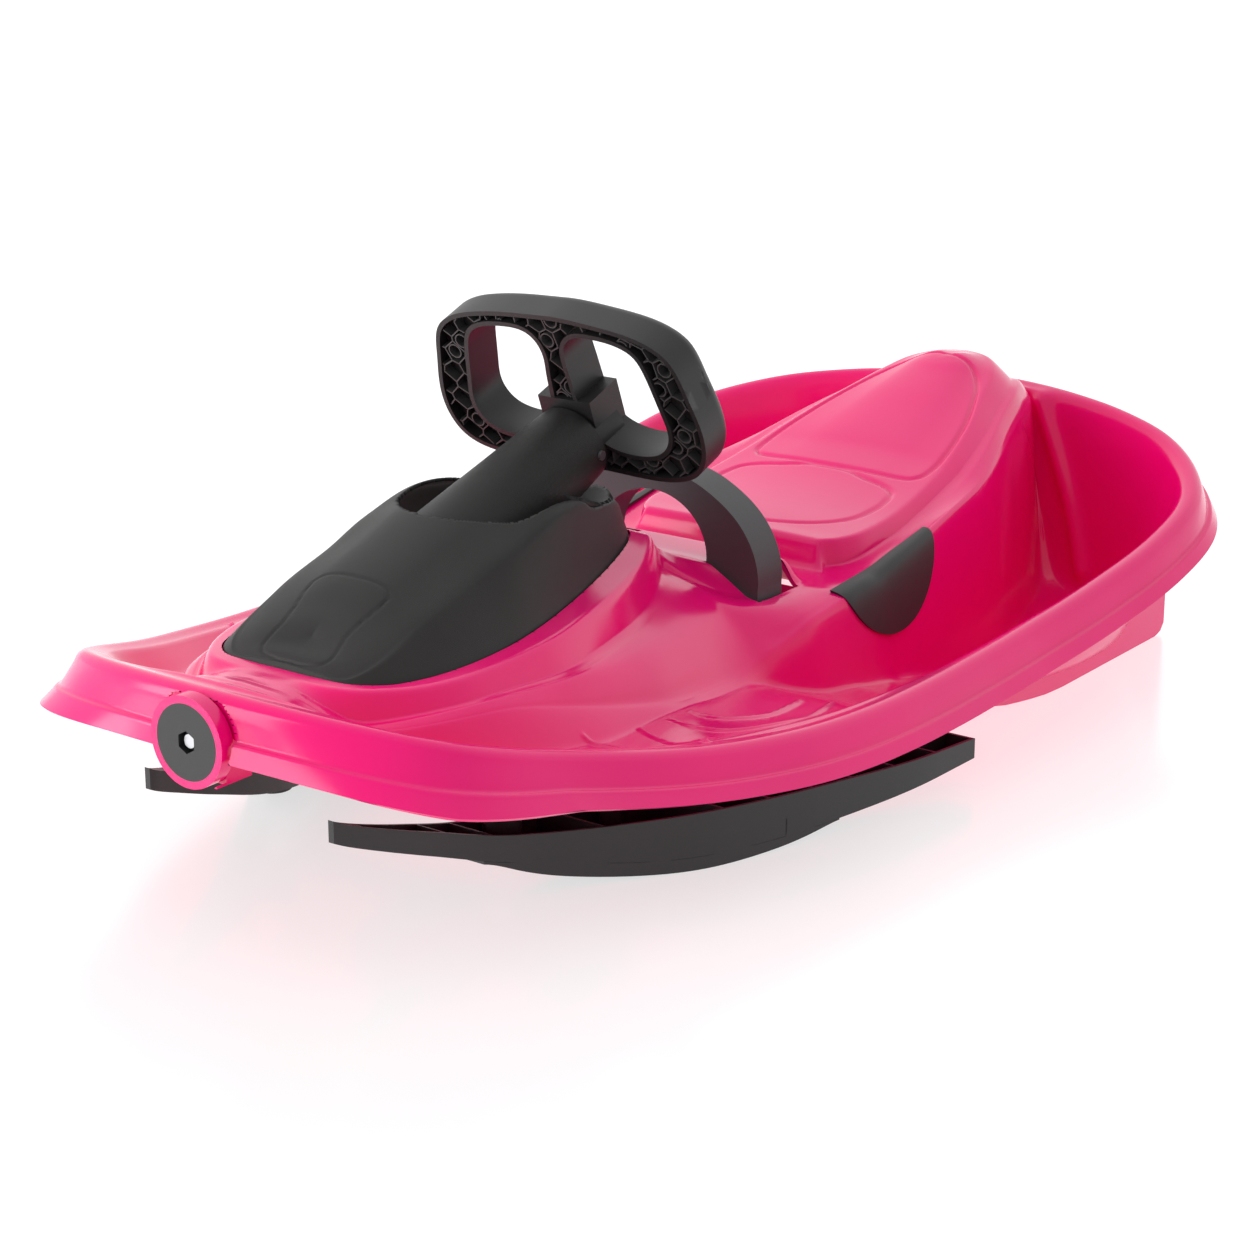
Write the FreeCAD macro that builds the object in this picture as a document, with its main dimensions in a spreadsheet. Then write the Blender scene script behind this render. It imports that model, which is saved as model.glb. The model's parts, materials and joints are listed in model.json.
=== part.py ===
import FreeCAD, Part
import Sketcher
import math
import os

from FreeCAD import Placement, Rotation, Vector

# Steering sled: a moulded two-seat hull with a steering cowl, a yoke wheel on an inclined column,
# two steered skis, a pull-back brake hoop and a turning tow disc on the nose.
# Millimetres. +X points to the nose, +Y to the rider's left, +Z up, ground at Z = 0.

document = FreeCAD.newDocument("steering_sled")
sheet = document.addObject("Spreadsheet::Sheet", "sizes")

# Driving dimensions: name, value, meaning
SIZES = (
    ("nose_x", 569, "rim at the nose on the centre plane"),
    ("tail_x", -574, "rim at the tail on the centre plane"),
    ("hull_half_width", 309, "widest half width over the rim ridge"),
    ("rim_nose_z", 182, "height of the rim at the nose"),
    ("rim_waist_z", 102, "lowest height of the rim"),
    ("rim_tail_z", 203, "height of the rim at the tail"),
    ("waist_x", 98, "place of the lowest rim"),
    ("floor_corner", 12, "rounding along the footwell's floor"),
    ("rim_land", 24, "width of the rim's top"),
    ("flange_band", 29, "height of the upper outside band of the rim"),
    ("flange_ledge", 3, "step between the two outside bands"),
    ("flange_depth", 44, "height of the whole outside flange"),
    ("hull_wall", 4, "wall of the hull"),
    ("front_fan_x", 300, "sections fan out forward of here"),
    ("rear_fan_x", -300, "sections fan out behind here"),
    ("running_gap", 0.05, "radial clearance of a turning fit"),
    ("seat_gap", 0.03, "radial clearance of a fixed fit"),
    ("face_gap", 0.3, "axial clearance between turning faces"),
    ("rest_gap", 0.1, "clearance between faces that are screwed together"),
    ("screw_end", 1, "screw's end from the bottom of its hole"),
    ("rail_front", -250, "front end of the rear rails"),
    ("rail_rear", -420, "rear end of the rear rails"),
    ("rail_inside", 180, "inner side of a rear rail"),
    ("rail_outside", 235, "outer side of a rear rail"),
    ("cowl_wall", 3, "wall of the cowl"),
    ("cowl_gap", 0.8, "gap between the cowl's skirt and the hull"),
    ("cowl_skirt", 14, "depth of the skirt below the cowl's edge"),
    ("cowl_boss_radius", 7, "screw boss inside the cowl"),
    ("cowl_boss_y", 68, "screw bosses from the centre plane"),
    ("cowl_screw_radius", 2.5, "shank of a cowl screw"),
    ("cowl_screw_head", 5, "head radius of a cowl screw"),
    ("cowl_screw_cap", 3.5, "head height of a cowl screw"),
    ("cowl_screw_length", 62, "shank length of a cowl screw"),
    ("bowl_radius", 57, "channel in the cowl round the neck, at the hub"),
    ("bowl_front_radius", 48.5, "the same channel at its front end"),
    ("bowl_front", 245, "front end of the channel, along the column from the hub"),
    ("hub_x", 100, "wheel centre on the column axis"),
    ("hub_z", 285, "height of the wheel centre"),
    ("column_tilt", 21, "fall of the column towards the nose, degrees"),
    ("shaft_radius", 8, "column shaft"),
    ("shaft_start", 0.3, "rear end of the shaft along the column"),
    ("shaft_end", 351, "front end of the shaft along the column"),
    ("bush_radius", 12, "outside of a column bush"),
    ("bush_length", 20, "length of a column bush"),
    ("rear_web_x", 350, "middle of the rear bearing web"),
    ("front_web_x", 410, "middle of the front bearing web"),
    ("web_thickness", 12, "thickness of a bearing web"),
    ("web_bottom", 105, "lower edge of the bearing webs"),
    ("web_top", 145, "upper edge of the webs beside the towers"),
    ("web_reach", 150, "webs from the centre plane, before the hull cuts them off"),
    ("tower_half_width", 32, "half width of a bearing tower"),
    ("tower_rise", 24, "tower above the column axis"),
    ("wheel_front", 29, "front face of the wheel along the column"),
    ("wheel_depth", 38, "depth of the wheel's rim along the column"),
    ("wheel_wall", 4, "walls round the recess in the wheel's front"),
    ("wheel_recess", 11, "depth of the recess in the wheel's front"),
    ("wheel_back_round", 12, "rounding of the wheel's back edge"),
    ("hub_half_width", 26, "half width of the hub block"),
    ("hub_below", 24, "hub block below the axis"),
    ("hub_above", 40, "hub block above the axis"),
    ("hub_boss_radius", 30.6, "boss on the wheel that carries the neck"),
    ("hub_boss_end", 50, "front end of that boss along the column"),
    ("wheel_bolt_radius", 4, "shank of the wheel bolt"),
    ("wheel_bolt_head_radius", 6.8, "head of the wheel bolt"),
    ("wheel_bolt_head", 5, "head height of the wheel bolt"),
    ("wheel_bolt_length", 26, "shank length of the wheel bolt"),
    ("hub_floor", 4, "hub material under the wheel bolt's head"),
    ("neck_start", 34, "small end of the neck along the column"),
    ("neck_end", 236, "large end of the neck along the column"),
    ("neck_small_radius", 34, "outside of the neck at the small end"),
    ("neck_large_radius", 46, "outside of the neck at the large end"),
    ("neck_wall", 3, "wall of the neck"),
    ("neck_screw_place", 42, "neck screws along the column"),
    ("neck_screw_radius", 2, "shank of a neck screw"),
    ("neck_screw_head", 4, "head radius of a neck screw"),
    ("neck_screw_length", 14, "shank length of a neck screw"),
    ("crank_place", 297, "middle of the crank along the column"),
    ("crank_thickness", 12, "thickness of the crank"),
    ("crank_hub_radius", 15, "hub of the crank"),
    ("crank_throw", 26, "crank pin below the column axis"),
    ("crank_eye_radius", 9, "eye of the crank"),
    ("crank_pin_radius", 4, "crank pin"),
    ("crank_pin_length", 38, "length of the crank pin"),
    ("crank_screw_radius", 2.5, "set screw of the crank"),
    ("ring_place", 345, "retaining ring along the column"),
    ("ring_thickness", 2, "thickness of a retaining ring"),
    ("ring_width", 4, "radial width of a retaining ring"),
    ("tie_bottom", 70, "underside of the tie bar"),
    ("tie_thickness", 10, "thickness of the tie bar"),
    ("tie_rear", 268, "rear edge of the tie bar"),
    ("tie_depth", 34, "depth of the cross bar"),
    ("tie_half_length", 166, "half length of the cross bar"),
    ("tie_stem_half", 25, "half width of the tie bar's stem"),
    ("tie_fork_x", 384, "rear face of the tie bar's fork plate"),
    ("tie_fork_thickness", 8, "thickness of the fork plate"),
    ("tie_fork_half", 14, "half width of the fork plate"),
    ("tie_fork_top", 158, "top of the fork plate"),
    ("tie_fork_slot", 9, "width of the slot for the crank pin"),
    ("tie_slot_bottom", 134, "bottom of the slot for the crank pin"),
    ("link_x", 285, "ski link pins"),
    ("link_y", 152, "ski link pins from the centre plane"),
    ("link_radius", 5, "ski link pin"),
    ("link_gap", 0.6, "side play of a link pin in its slot"),
    ("link_travel", 12, "length of a slot beyond the link pin"),
    ("link_bottom", 34, "lower end of a link pin"),
    ("link_length", 52, "length of a link pin"),
    ("link_boss_radius", 9, "boss of a ski round the link pin"),
    ("link_boss_top", 66, "top of that boss"),
    ("pivot_x", 372, "ski pivots"),
    ("pivot_y", 116, "ski pivots from the centre plane"),
    ("pivot_radius", 8, "shoulder of a pivot bolt"),
    ("pivot_thread_radius", 5, "thread of a pivot bolt"),
    ("pivot_head_radius", 11, "head of a pivot bolt"),
    ("pivot_head", 6, "head height of a pivot bolt"),
    ("pivot_boss_radius", 15, "boss of a ski round its pivot"),
    ("hull_boss_radius", 16, "boss of the hull above a ski's pivot"),
    ("pivot_boss_bottom", 24, "lower end of that boss"),
    ("pivot_seat", 33, "seat of the pivot bolt's head in the ski"),
    ("pivot_boss_top", 74, "upper end of the ski's boss"),
    ("pivot_washer", 2.4, "thickness of a pivot washer"),
    ("pivot_thread_length", 26, "thread of a pivot bolt in the hull"),
    ("ski_wall", 3, "wall of a ski"),
    ("ski_rib", 2.4, "thickness of a ski's ribs"),
    ("keel_width", 22, "width of a keel strip"),
    ("keel_gap", 0.2, "gap between keel and ski"),
    ("keel_screw_radius", 2, "shank of a keel screw"),
    ("keel_screw_head", 4, "head radius of a keel screw"),
    ("keel_screw_cap", 2.5, "head height of a keel screw"),
    ("keel_screw_length", 9, "shank length of a keel screw"),
    ("hoop_front", 20, "front face of the brake hoop"),
    ("hoop_depth", 36, "depth of the brake hoop"),
    ("hoop_outside", 108, "outer side of a hoop leg"),
    ("hoop_inside", 56, "inner side of a hoop leg"),
    ("hoop_top", 229, "top of the hoop"),
    ("hoop_inner_top", 211, "underside of the hoop's arch"),
    ("hoop_spring_z", 160, "height where the inner arch starts"),
    ("hoop_foot", 92, "lower end of the hoop's legs"),
    ("brake_x", 2, "brake pivot"),
    ("brake_z", 108, "height of the brake pivot"),
    ("brake_pin_radius", 5, "brake pin"),
    ("brake_pin_over", 2, "brake pin past the far sides of its lugs"),
    ("brake_slot_front", 23, "front end of a deck slot"),
    ("brake_slot_rear", -38, "rear end of a deck slot"),
    ("brake_slot_gap", 3, "side play of a leg in its slot"),
    ("lug_thickness", 8, "thickness of a brake lug"),
    ("lug_gap", 1, "lug from the slot's side"),
    ("lug_half_length", 14, "half length of a brake lug"),
    ("lug_bottom", 94, "lower end of a brake lug"),
    ("claw_inside", 67, "inner side of a claw"),
    ("claw_width", 30, "width of a claw"),
    ("claw_thickness", 5, "thickness of a claw"),
    ("claw_front", 18, "front end of a claw"),
    ("claw_bend", -130, "bend of a claw"),
    ("claw_tip", -170, "tip of a claw"),
    ("claw_drop", 14, "fall of a claw's tip"),
    ("claw_screw_radius", 2.5, "shank of a claw screw"),
    ("claw_screw_head", 4.5, "head radius of a claw screw"),
    ("claw_screw_cap", 3, "head height of a claw screw"),
    ("claw_screw_length", 13, "shank length of a claw screw"),
    ("claw_screw_spacing", 20, "distance between the two screws of a claw"),
    ("tow_z", 147, "height of the tow disc's axis"),
    ("tow_front", 580, "front face of the tow disc"),
    ("tow_thickness", 12, "thickness of the tow disc"),
    ("tow_disc_radius", 28.7, "tow disc"),
    ("tow_ring_radius", 34.5, "outside of the tow disc's ring"),
    ("tow_notch_radius", 37.5, "notch of the nose round the disc"),
    ("tow_recess_across", 15, "hexagon recess, across flats"),
    ("tow_recess_depth", 7, "depth of the hexagon recess"),
    ("tow_bolt_radius", 3, "shank of the tow bolt"),
    ("tow_bolt_head_radius", 5.2, "head of the tow bolt"),
    ("tow_bolt_head", 3.5, "head height of the tow bolt"),
    ("tow_bolt_length", 44, "shank length of the tow bolt"),
    ("tow_block_rear", 540, "rear face of the nose block"),
    ("tow_block_face", 566, "front face of the nose block in the notch"),
    ("tow_block_half", 24, "half width of the nose block"),
    ("tow_block_bottom", 116, "underside of the nose block"),
    ("tow_washer", 1.2, "thickness of the tow washer"),
    ("tow_washer_radius", 9, "outside of the tow washer"),
    ("tow_nut_across", 10, "tow nut, across flats"),
    ("tow_nut", 5, "thickness of the tow nut"),
    ("grip_x", -118, "middle of a grip"),
    ("grip_z", 158, "centre height of a grip's round outline"),
    ("grip_radius", 78, "radius of a grip's outline"),
    ("grip_fold", 14, "strip of a grip on top of the seat"),
    ("grip_lift", 0.3, "gap between grip and hull"),
    ("grip_thickness", 2.5, "thickness of a grip"),
)

# Plan of the rim from nose to tail: share of the length, share of the half width
RIM_PLAN = (
    (0.0, 0.0), (0.0055, 0.178), (0.0157, 0.345), (0.0297, 0.486), (0.0478, 0.587),
    (0.0780, 0.658), (0.1260, 0.716), (0.2126, 0.825), (0.3071, 0.903), (0.3666, 0.932),
    (0.4121, 0.946), (0.4349, 0.950), (0.4454, 0.951), (0.4541, 0.952), (0.4664, 0.953),
    (0.4804, 0.954), (0.4979, 0.955), (0.5372, 0.957), (0.5451, 0.958), (0.5731, 0.961),
    (0.5827, 0.962), (0.5940, 0.963), (0.6206, 0.968), (0.6553, 0.977), (0.6968, 0.986),
    (0.7839, 1.0), (0.8565, 0.974), (0.9073, 0.877), (0.9484, 0.718), (0.9746, 0.518),
    (0.9886, 0.340), (0.9965, 0.178), (1.0, 0.0),
)

# Table of offsets, one row for each frame of the hull, in the order of RIM_PLAN, measured out from the spine:
# crest is the upper edge of the raised middle (cowl collar, hoop bar, seat) and crease its foot on the deck,
# edge is the top edge of the footwell's inner wall, run that wall's draft, floor the footwell's height,
# inset the floor's distance from the rim, spine the height on the centre plane, flare the flange's lean.
FRAME_COLUMNS = ("crest", "crest_z", "crease", "crease_z", "edge", "edge_z", "run", "floor_z", "inset",
                 "spine_z", "flare")
FRAMES = (
    # nose and cowl collar
    (42, 174, 54, 175, 66, 176, 10, 178, 34, 174, 4),
    (49, 174, 63, 174, 75, 174, 10, 175, 34, 174, 6),
    (66, 174, 81, 163, 93, 161, 10, 157, 36, 175, 14),
    (83, 173, 97, 151, 108, 149, 10, 141, 42, 177, 22),
    (94, 172, 107, 152, 119, 148, 12, 131, 46, 179, 24),
    (106, 171, 119, 154, 131, 149, 14, 124, 46, 183, 22),
    (113, 172, 128, 155, 140, 148, 18, 114, 46, 187, 18),
    (110, 175, 128, 151, 146, 138, 24, 98, 46, 193, 14),
    (88, 180, 108, 149, 150, 112, 20, 86, 46, 197, 12),
    (67, 183, 87, 150, 146, 97, 12, 79, 46, 197, 11),
    (45, 187, 63, 155, 139, 93, 8, 74, 46, 194, 10),
    (31, 189, 47, 157, 138, 95, 8, 70, 47, 190, 10),
    (24, 183, 42, 154, 139, 98, 8, 68, 48, 184, 10),
    # bar with the hoop's slots
    (24, 173, 66, 143, 141, 102, 9, 66, 48, 174, 10),
    (38, 163, 92, 135, 144, 106, 10, 64, 49, 164, 10),
    (68, 155, 103, 132, 147, 112, 12, 60, 50, 157, 10),
    (88, 153, 107, 131, 150, 119, 14, 56, 51, 154, 10),
    (95, 152, 108, 131, 152, 126, 15, 50, 52, 153, 10),
    # trench in front of the seat
    (96, 131, 108, 130, 153, 128, 15, 48, 53, 131, 10),
    (96, 131, 106, 130, 153, 133, 16, 43, 55, 131, 10),
    # seat and its back
    (80, 155, 88, 131, 153, 134, 16, 41, 55, 156, 10),
    (103, 155, 109, 132, 152, 136, 16, 39, 56, 156, 10),
    (112, 156, 118, 138, 151, 142, 17, 33, 58, 158, 10),
    (111, 158, 118, 144, 149, 149, 18, 24, 60, 161, 10),
    (107, 164, 115, 153, 145, 157, 18, 18, 62, 167, 10),
    (95, 185, 108, 176, 132, 169, 20, 10, 66, 190, 10),
    (82, 203, 97, 193, 115, 180, 20, 9, 66, 208, 10),
    (70, 216, 86, 204, 102, 188, 20, 9, 66, 221, 10),
    (62, 226, 79, 212, 94, 193, 18, 12, 62, 231, 9),
    (56, 233, 74, 216, 90, 196, 16, 24, 56, 238, 8),
    (52, 236, 72, 216, 92, 198, 10, 90, 42, 241, 5),
    (48, 238, 66, 214, 80, 205, 10, 190, 32, 242, 2),
    (44, 239, 60, 213, 70, 205, 8, 203, 32, 242, 0),
)
GRIP_FRAME = 21

# Distance between the stations of the hull's surface: place along the rim, distance
STATION_SPACING = ((0, 20), (560, 20), (630, 6), (838, 6), (890, 20), (2000, 20))

# Frames of the cowl from nose to tail, left side: outline point, spine place, edge height,
# height on the centre plane, crest as a share of the way to the outline, crest height
COWL_FRAMES = (
    (478, 0, 446, 172, 192, 0.90, 178),
    (478, 30, 445, 172, 193, 0.92, 177),
    (476, 55, 442, 172, 196, 0.95, 175),
    (467, 71, 436, 172, 201, 0.90, 180),
    (450, 85, 424, 172, 208, 0.82, 188),
    (407, 99, 401, 172, 222, 0.72, 205),
    (350, 102, 350, 174, 242, 0.72, 222),
    (300, 97, 300, 177, 259, 0.79, 238),
    (235, 82, 235, 179, 271, 0.88, 252),
    (173, 63, 178, 181, 267, 0.84, 244),
    (120, 43, 138, 185, 256, 0.80, 231),
    (90, 27, 118, 188, 246, 0.76, 220),
    (75, 12, 108, 190, 240, 0.72, 215),
    (72, 0, 105, 190, 238, 0.72, 214),
)

# Stations of the left ski from tip to heel: place, outer edge, top, bottom, width
SKI_STATIONS = (
    (532, 93, 94, 77, 5), (505, 104, 83, 66, 14), (450, 122, 66, 47, 30), (405, 142, 54, 33, 47),
    (362, 163, 48, 24, 60), (307, 197, 46, 14, 73), (260, 225, 46, 11, 76), (200, 249, 45, 11, 74),
    (145, 266, 44, 13, 67), (60, 286, 41, 17, 48), (-20, 296, 39, 22, 28),
)
SKI_RIBS = (445, 410, 330, 245, 205, 165, 125, 80, 30)
SKI_SECTIONS = 24
KEEL_SECTIONS = 13

# Lower side of a keel from front to rear: place, height
KEEL_LINE = ((418, 34), (395, 25), (362, 13), (307, 3), (260, 0.4), (200, 3), (165, 8), (140, 12))
KEEL_SCREWS = (345, 262, 180)

# Right half of the wheel's outline and of one opening, in the plane of the wheel, from the hub
WHEEL_OUTLINE = (
    (0, 117), (40, 115), (72, 111), (97, 104), (115, 91), (125, 63), (132, 30), (130, 5),
    (119, -13), (98, -23), (68, -26), (34, -25), (0, -24),
)
WHEEL_OPENING = (
    (13, 88), (22, 98), (45, 101), (66, 98), (81, 90), (88, 75), (95, 42), (97, 17),
    (89, 4), (66, -4), (45, -3), (24, 7), (14, 34), (12, 62),
)

# Outer half outline of the brake hoop above its straight leg
HOOP_OUTLINE = ((108, 140), (103, 172), (86, 197), (63, 214), (35, 226), (0, 229))


def write_sheet():
    """Put every driving dimension in a cell of its own, under its name."""
    rows = [(name, value, meaning) for name, value, meaning in SIZES]
    for index, frame in enumerate(FRAMES):
        for column, value in zip(FRAME_COLUMNS, frame):
            rows.append((f"frame{index}_{column}", value, f"hull frame {index}"))
    for row, (name, value, meaning) in enumerate(rows, start=1):
        sheet.set(f"A{row}", meaning)
        sheet.set(f"B{row}", str(value))
        sheet.setAlias(f"B{row}", name)
    document.recompute()


def size(name):
    """Read one driving dimension from the sheet."""
    return float(sheet.get(name))


write_sheet()


# Curves and surfaces shared by the moulded shells

UNDER_DROP = 400.0

def limited_slopes(places, values):
    """Slopes for a curve that never overshoots the values it passes through."""
    steps = [(values[i + 1] - values[i]) / (places[i + 1] - places[i]) for i in range(len(values) - 1)]
    inner = []
    for before, after in zip(steps, steps[1:]):
        inner.append(0.0 if before * after <= 0 else 2 * before * after / (before + after))
    return [0.0] + inner + [0.0]


def smooth_slopes(places, values, first, last):
    """Slopes for a smooth curve with given end slopes."""
    inner = [(values[i + 1] - values[i - 1]) / (places[i + 1] - places[i - 1])
             for i in range(1, len(values) - 1)]
    return [first] + inner + [last]


def curve_value(places, values, slopes, place):
    """Value of the cubic curve through the given values at one place."""
    index = 0
    while index < len(places) - 2 and place > places[index + 1]:
        index += 1
    span = places[index + 1] - places[index]
    u = (place - places[index]) / span
    return ((1 + 2 * u) * (1 - u) ** 2 * values[index] + u * (1 - u) ** 2 * span * slopes[index]
            + u * u * (3 - 2 * u) * values[index + 1] + u * u * (u - 1) * span * slopes[index + 1])


def spread(places, values, stations):
    """Values of a limited curve at these stations."""
    slopes = limited_slopes(places, values)
    return [curve_value(places, values, slopes, station) for station in stations]


def clamped_knots(count, degree):
    """Even knots and multiplicities of a clamped curve with this many poles."""
    spans = count - degree
    return list(range(spans + 1)), [degree + 1] + [1] * (spans - 1) + [degree + 1]


def surface_face(poles, across_degree=3):
    """Smooth face under a grid of poles."""
    knots_u, mults_u = clamped_knots(len(poles), 3)
    knots_v, mults_v = clamped_knots(len(poles[0]), across_degree)
    surface = Part.BSplineSurface()
    surface.buildFromPolesMultsKnots(poles, mults_u, mults_v, knots_u, knots_v,
                                     False, False, 3, across_degree)
    return surface.toShape()


def other_side(poles):
    """The same grid on the other side of the centre plane."""
    return [[Vector(p.x, -p.y, p.z) for p in row] for row in poles]


def outward_normals(poles):
    """Unit normals of a grid whose rows run nose to tail and columns run outward."""
    last_row = len(poles) - 1
    last_column = len(poles[0]) - 1
    normals = []
    for i, row in enumerate(poles):
        line = []
        for k, _ in enumerate(row):
            along = poles[min(i + 1, last_row)][k] - poles[max(i - 1, 0)][k]
            across = row[min(k + 1, last_column)] - row[max(k - 1, 0)]
            if i in (0, last_row):
                along = Vector(0, 1 if i == 0 else -1, 0)
            if k == 0:
                across = Vector(0, 1, 0) if i not in (0, last_row) else across
            normal = across.cross(along)
            if k == 0 or i in (0, last_row):
                normal.y = 0
            line.append(normal.normalize())
        normals.append(line)
    return normals


def offset_poles(poles, distance):
    """Grid moved along its normals."""
    normals = outward_normals(poles)
    return [[p + n * distance for p, n in zip(row, line)] for row, line in zip(poles, normals)]


def closed_solid(faces):
    """Sew faces into one solid."""
    compound = Part.makeCompound(faces)
    compound.sewShape()
    shell = compound.Shells[0]
    solid = Part.Solid(shell)
    if solid.Volume < 0:
        solid.reverse()
    return solid


def slab_solid(top, bottom):
    """Solid between two half grids and their mirror images."""
    faces = []
    for upper, lower in ((top, bottom), (other_side(top), other_side(bottom))):
        faces.append(surface_face(upper))
        faces.append(surface_face(lower))
        faces.append(surface_face([[up[-1], low[-1]] for up, low in zip(upper, lower)], 1))
    return closed_solid(faces)


def shell_solid(top, wall):
    """Thin shell under a half grid and its mirror image."""
    return slab_solid(top, offset_poles(top, -wall))


def space_under(top, depth):
    """Solid that fills the space below a surface this deep in the wall of its shell."""
    upper = offset_poles(top, -depth)
    lower = [[Vector(p.x, p.y, p.z - UNDER_DROP) for p in row] for row in upper]
    return slab_solid(upper, lower)


# Hull surface

SHEER_NOSE = 2.0
SHEER_TAIL = 2.2


def rim_height(x):
    """Sheer line of the rim."""
    waist = size("waist_x")
    if x > waist:
        share = (x - waist) / (size("nose_x") - waist)
        return size("rim_waist_z") + (size("rim_nose_z") - size("rim_waist_z")) * share ** SHEER_NOSE
    share = (waist - x) / (waist - size("tail_x"))
    return size("rim_waist_z") + (size("rim_tail_z") - size("rim_waist_z")) * share ** SHEER_TAIL


def spine_place(x):
    """Point of the centre line from which the section to a rim point starts."""
    front = size("front_fan_x")
    rear = size("rear_fan_x")
    if x > front:
        return front + 0.56 * (x - front)
    if x < rear:
        return rear + 0.60 * (x - rear)
    return x


def hull_section(reach, rim_z, frame, slope):
    """Poles of one hull section as (distance from the spine, height)."""
    crest, crest_z, crease, crease_z, edge, edge_z, run, floor_z, inset, spine_z, flare = frame
    step = crest_z - crease_z
    slant = crease - crest
    deck = edge - crease
    fall = crease_z - edge_z
    wall_foot = edge + run
    drop = edge_z - floor_z
    floor_end = reach - inset
    corner = min(size("floor_corner"), 0.3 * (floor_end - wall_foot))
    land = reach - size("rim_land")
    lift = rim_z - floor_z
    band = rim_z - size("flange_band")
    ledge = reach + size("flange_ledge")
    return (
        # raised middle
        (0.0, spine_z),
        (0.35 * crest, spine_z + slope * 0.35 * crest),
        (0.75 * crest, crest_z + 0.3 * (spine_z - crest_z)),
        (crest - 7, crest_z + 0.04 * (spine_z - crest_z)),
        (crest - 1, crest_z - 0.06 * step),
        (crest + 0.4 * slant, crest_z - 0.45 * step),
        # deck
        (crease - 0.06 * slant, crease_z + 0.05 * step),
        (crease + 4, crease_z - 0.03 * fall),
        (crease + 0.45 * deck, crease_z - 0.26 * fall),
        (edge - 0.18 * deck, edge_z + 0.24 * fall),
        # footwell
        (edge, edge_z - 0.03 * drop),
        (edge + 0.3 * run, edge_z - 0.3 * drop),
        (edge + 0.75 * run, edge_z - 0.75 * drop),
        (wall_foot, floor_z + 0.06 * drop),
        (wall_foot + corner, floor_z),
        (0.5 * (wall_foot + floor_end), floor_z),
        (floor_end - corner, floor_z),
        (floor_end, floor_z + 0.08 * lift),
        (floor_end + 0.6 * (land - floor_end), floor_z + 0.6 * lift),
        # rim and flange
        (land - 3, rim_z - 0.12 * lift),
        (land + 4, rim_z - 2),
        (reach - 9, rim_z + 1),
        (reach - 2, rim_z - 3),
        (reach + 1, rim_z - 10),
        (reach + 1 + 0.4 * flare, band + 4),
        (reach + 1 + 0.5 * flare, band),
        (ledge + 2 + 0.5 * flare, band - 1),
        (ledge + 2.5 + 0.6 * flare, band - 5),
        (ledge + 3 + flare, rim_z - size("flange_depth")),
    )


def station_places(length):
    """Places of the stations along the rim, closest together round the trench."""
    places = [place for place, _ in STATION_SPACING]
    gaps = [gap for _, gap in STATION_SPACING]
    slopes = limited_slopes(places, gaps)
    stations = [0.0]
    while stations[-1] < length:
        stations.append(stations[-1] + curve_value(places, gaps, slopes, stations[-1]))
    return [station * length / stations[-1] for station in stations]


def hull_poles():
    """Half grid of the hull's upper side, nose to tail and spine to flange."""
    span = size("tail_x") - size("nose_x")
    rim_x = [size("nose_x") + share * span for share, _ in RIM_PLAN]
    rim_y = [size("hull_half_width") * share for _, share in RIM_PLAN]
    places = [0.0]
    for i in range(1, len(rim_x)):
        places.append(places[-1] + math.hypot(rim_x[i] - rim_x[i - 1], rim_y[i] - rim_y[i - 1]))
    slopes_x = smooth_slopes(places, rim_x, 0.0, 0.0)
    slopes_y = smooth_slopes(places, rim_y, 1.0, -1.0)
    wanted = station_places(places[-1])
    columns = []
    for name in FRAME_COLUMNS:
        values = [size(f"frame{i}_{name}") for i in range(len(RIM_PLAN))]
        columns.append(spread(places, values, wanted))
    stations = []
    for i, place in enumerate(wanted):
        x = curve_value(places, rim_x, slopes_x, place)
        y = curve_value(places, rim_y, slopes_y, place)
        stations.append((x, y, spine_place(x), [column[i] for column in columns]))
    spine_column = FRAME_COLUMNS.index("spine_z")
    last = len(stations) - 1
    grid = []
    for i, (x, y, spine_x, frame) in enumerate(stations):
        before = stations[max(i - 1, 0)]
        after = stations[min(i + 1, last)]
        rise = (after[3][spine_column] - before[3][spine_column]) / (after[2] - before[2])
        if i in (0, last):
            y = 0.0
            rise = 0.0
        reach = math.hypot(x - spine_x, y)
        ahead = (x - spine_x) / reach
        aside = y / reach
        section = hull_section(reach, rim_height(x), frame, rise * ahead)
        grid.append([Vector(spine_x + ahead * d, aside * d, z) for d, z in section])
    return grid


# Building blocks for the other pieces

SIDES = (1, -1)
FAR = 1000.0
OVER = 1.0
UP = Vector(0, 0, 1)
ALONG_X = Rotation(Vector(0, 1, 0), 90)
ALONG_Y = Rotation(Vector(1, 0, 0), -90)


def add_shape(label, shape):
    """Piece whose freeform shape is worked out from the sheet."""
    piece = document.addObject("Part::Feature", label)
    piece.Shape = shape
    return piece


def bind(item, **formulas):
    """Bind properties of an object to formulas in the sheet's names."""
    for name, formula in formulas.items():
        item.setExpression(name, formula)
    return item


def box(label, length, width, height, corner):
    """Bound box with its lowest corner here."""
    item = document.addObject("Part::Box", label)
    bind(item, Length=length, Width=width, Height=height)
    item.Placement.Base = Vector(*corner)
    return item


def cylinder(label, radius, height, base, turn=Rotation()):
    """Bound cylinder that starts at this point."""
    item = document.addObject("Part::Cylinder", label)
    bind(item, Radius=radius, Height=height)
    item.Placement = Placement(Vector(*base), turn)
    return item


def hexagon(label, across, height, base, turn=Rotation()):
    """Bound hexagonal prism that starts at this point."""
    item = document.addObject("Part::Prism", label)
    item.Polygon = 6
    bind(item, Circumradius=f"{across} / sqrt(3)", Height=height)
    item.Placement = Placement(Vector(*base), turn)
    return item


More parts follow.
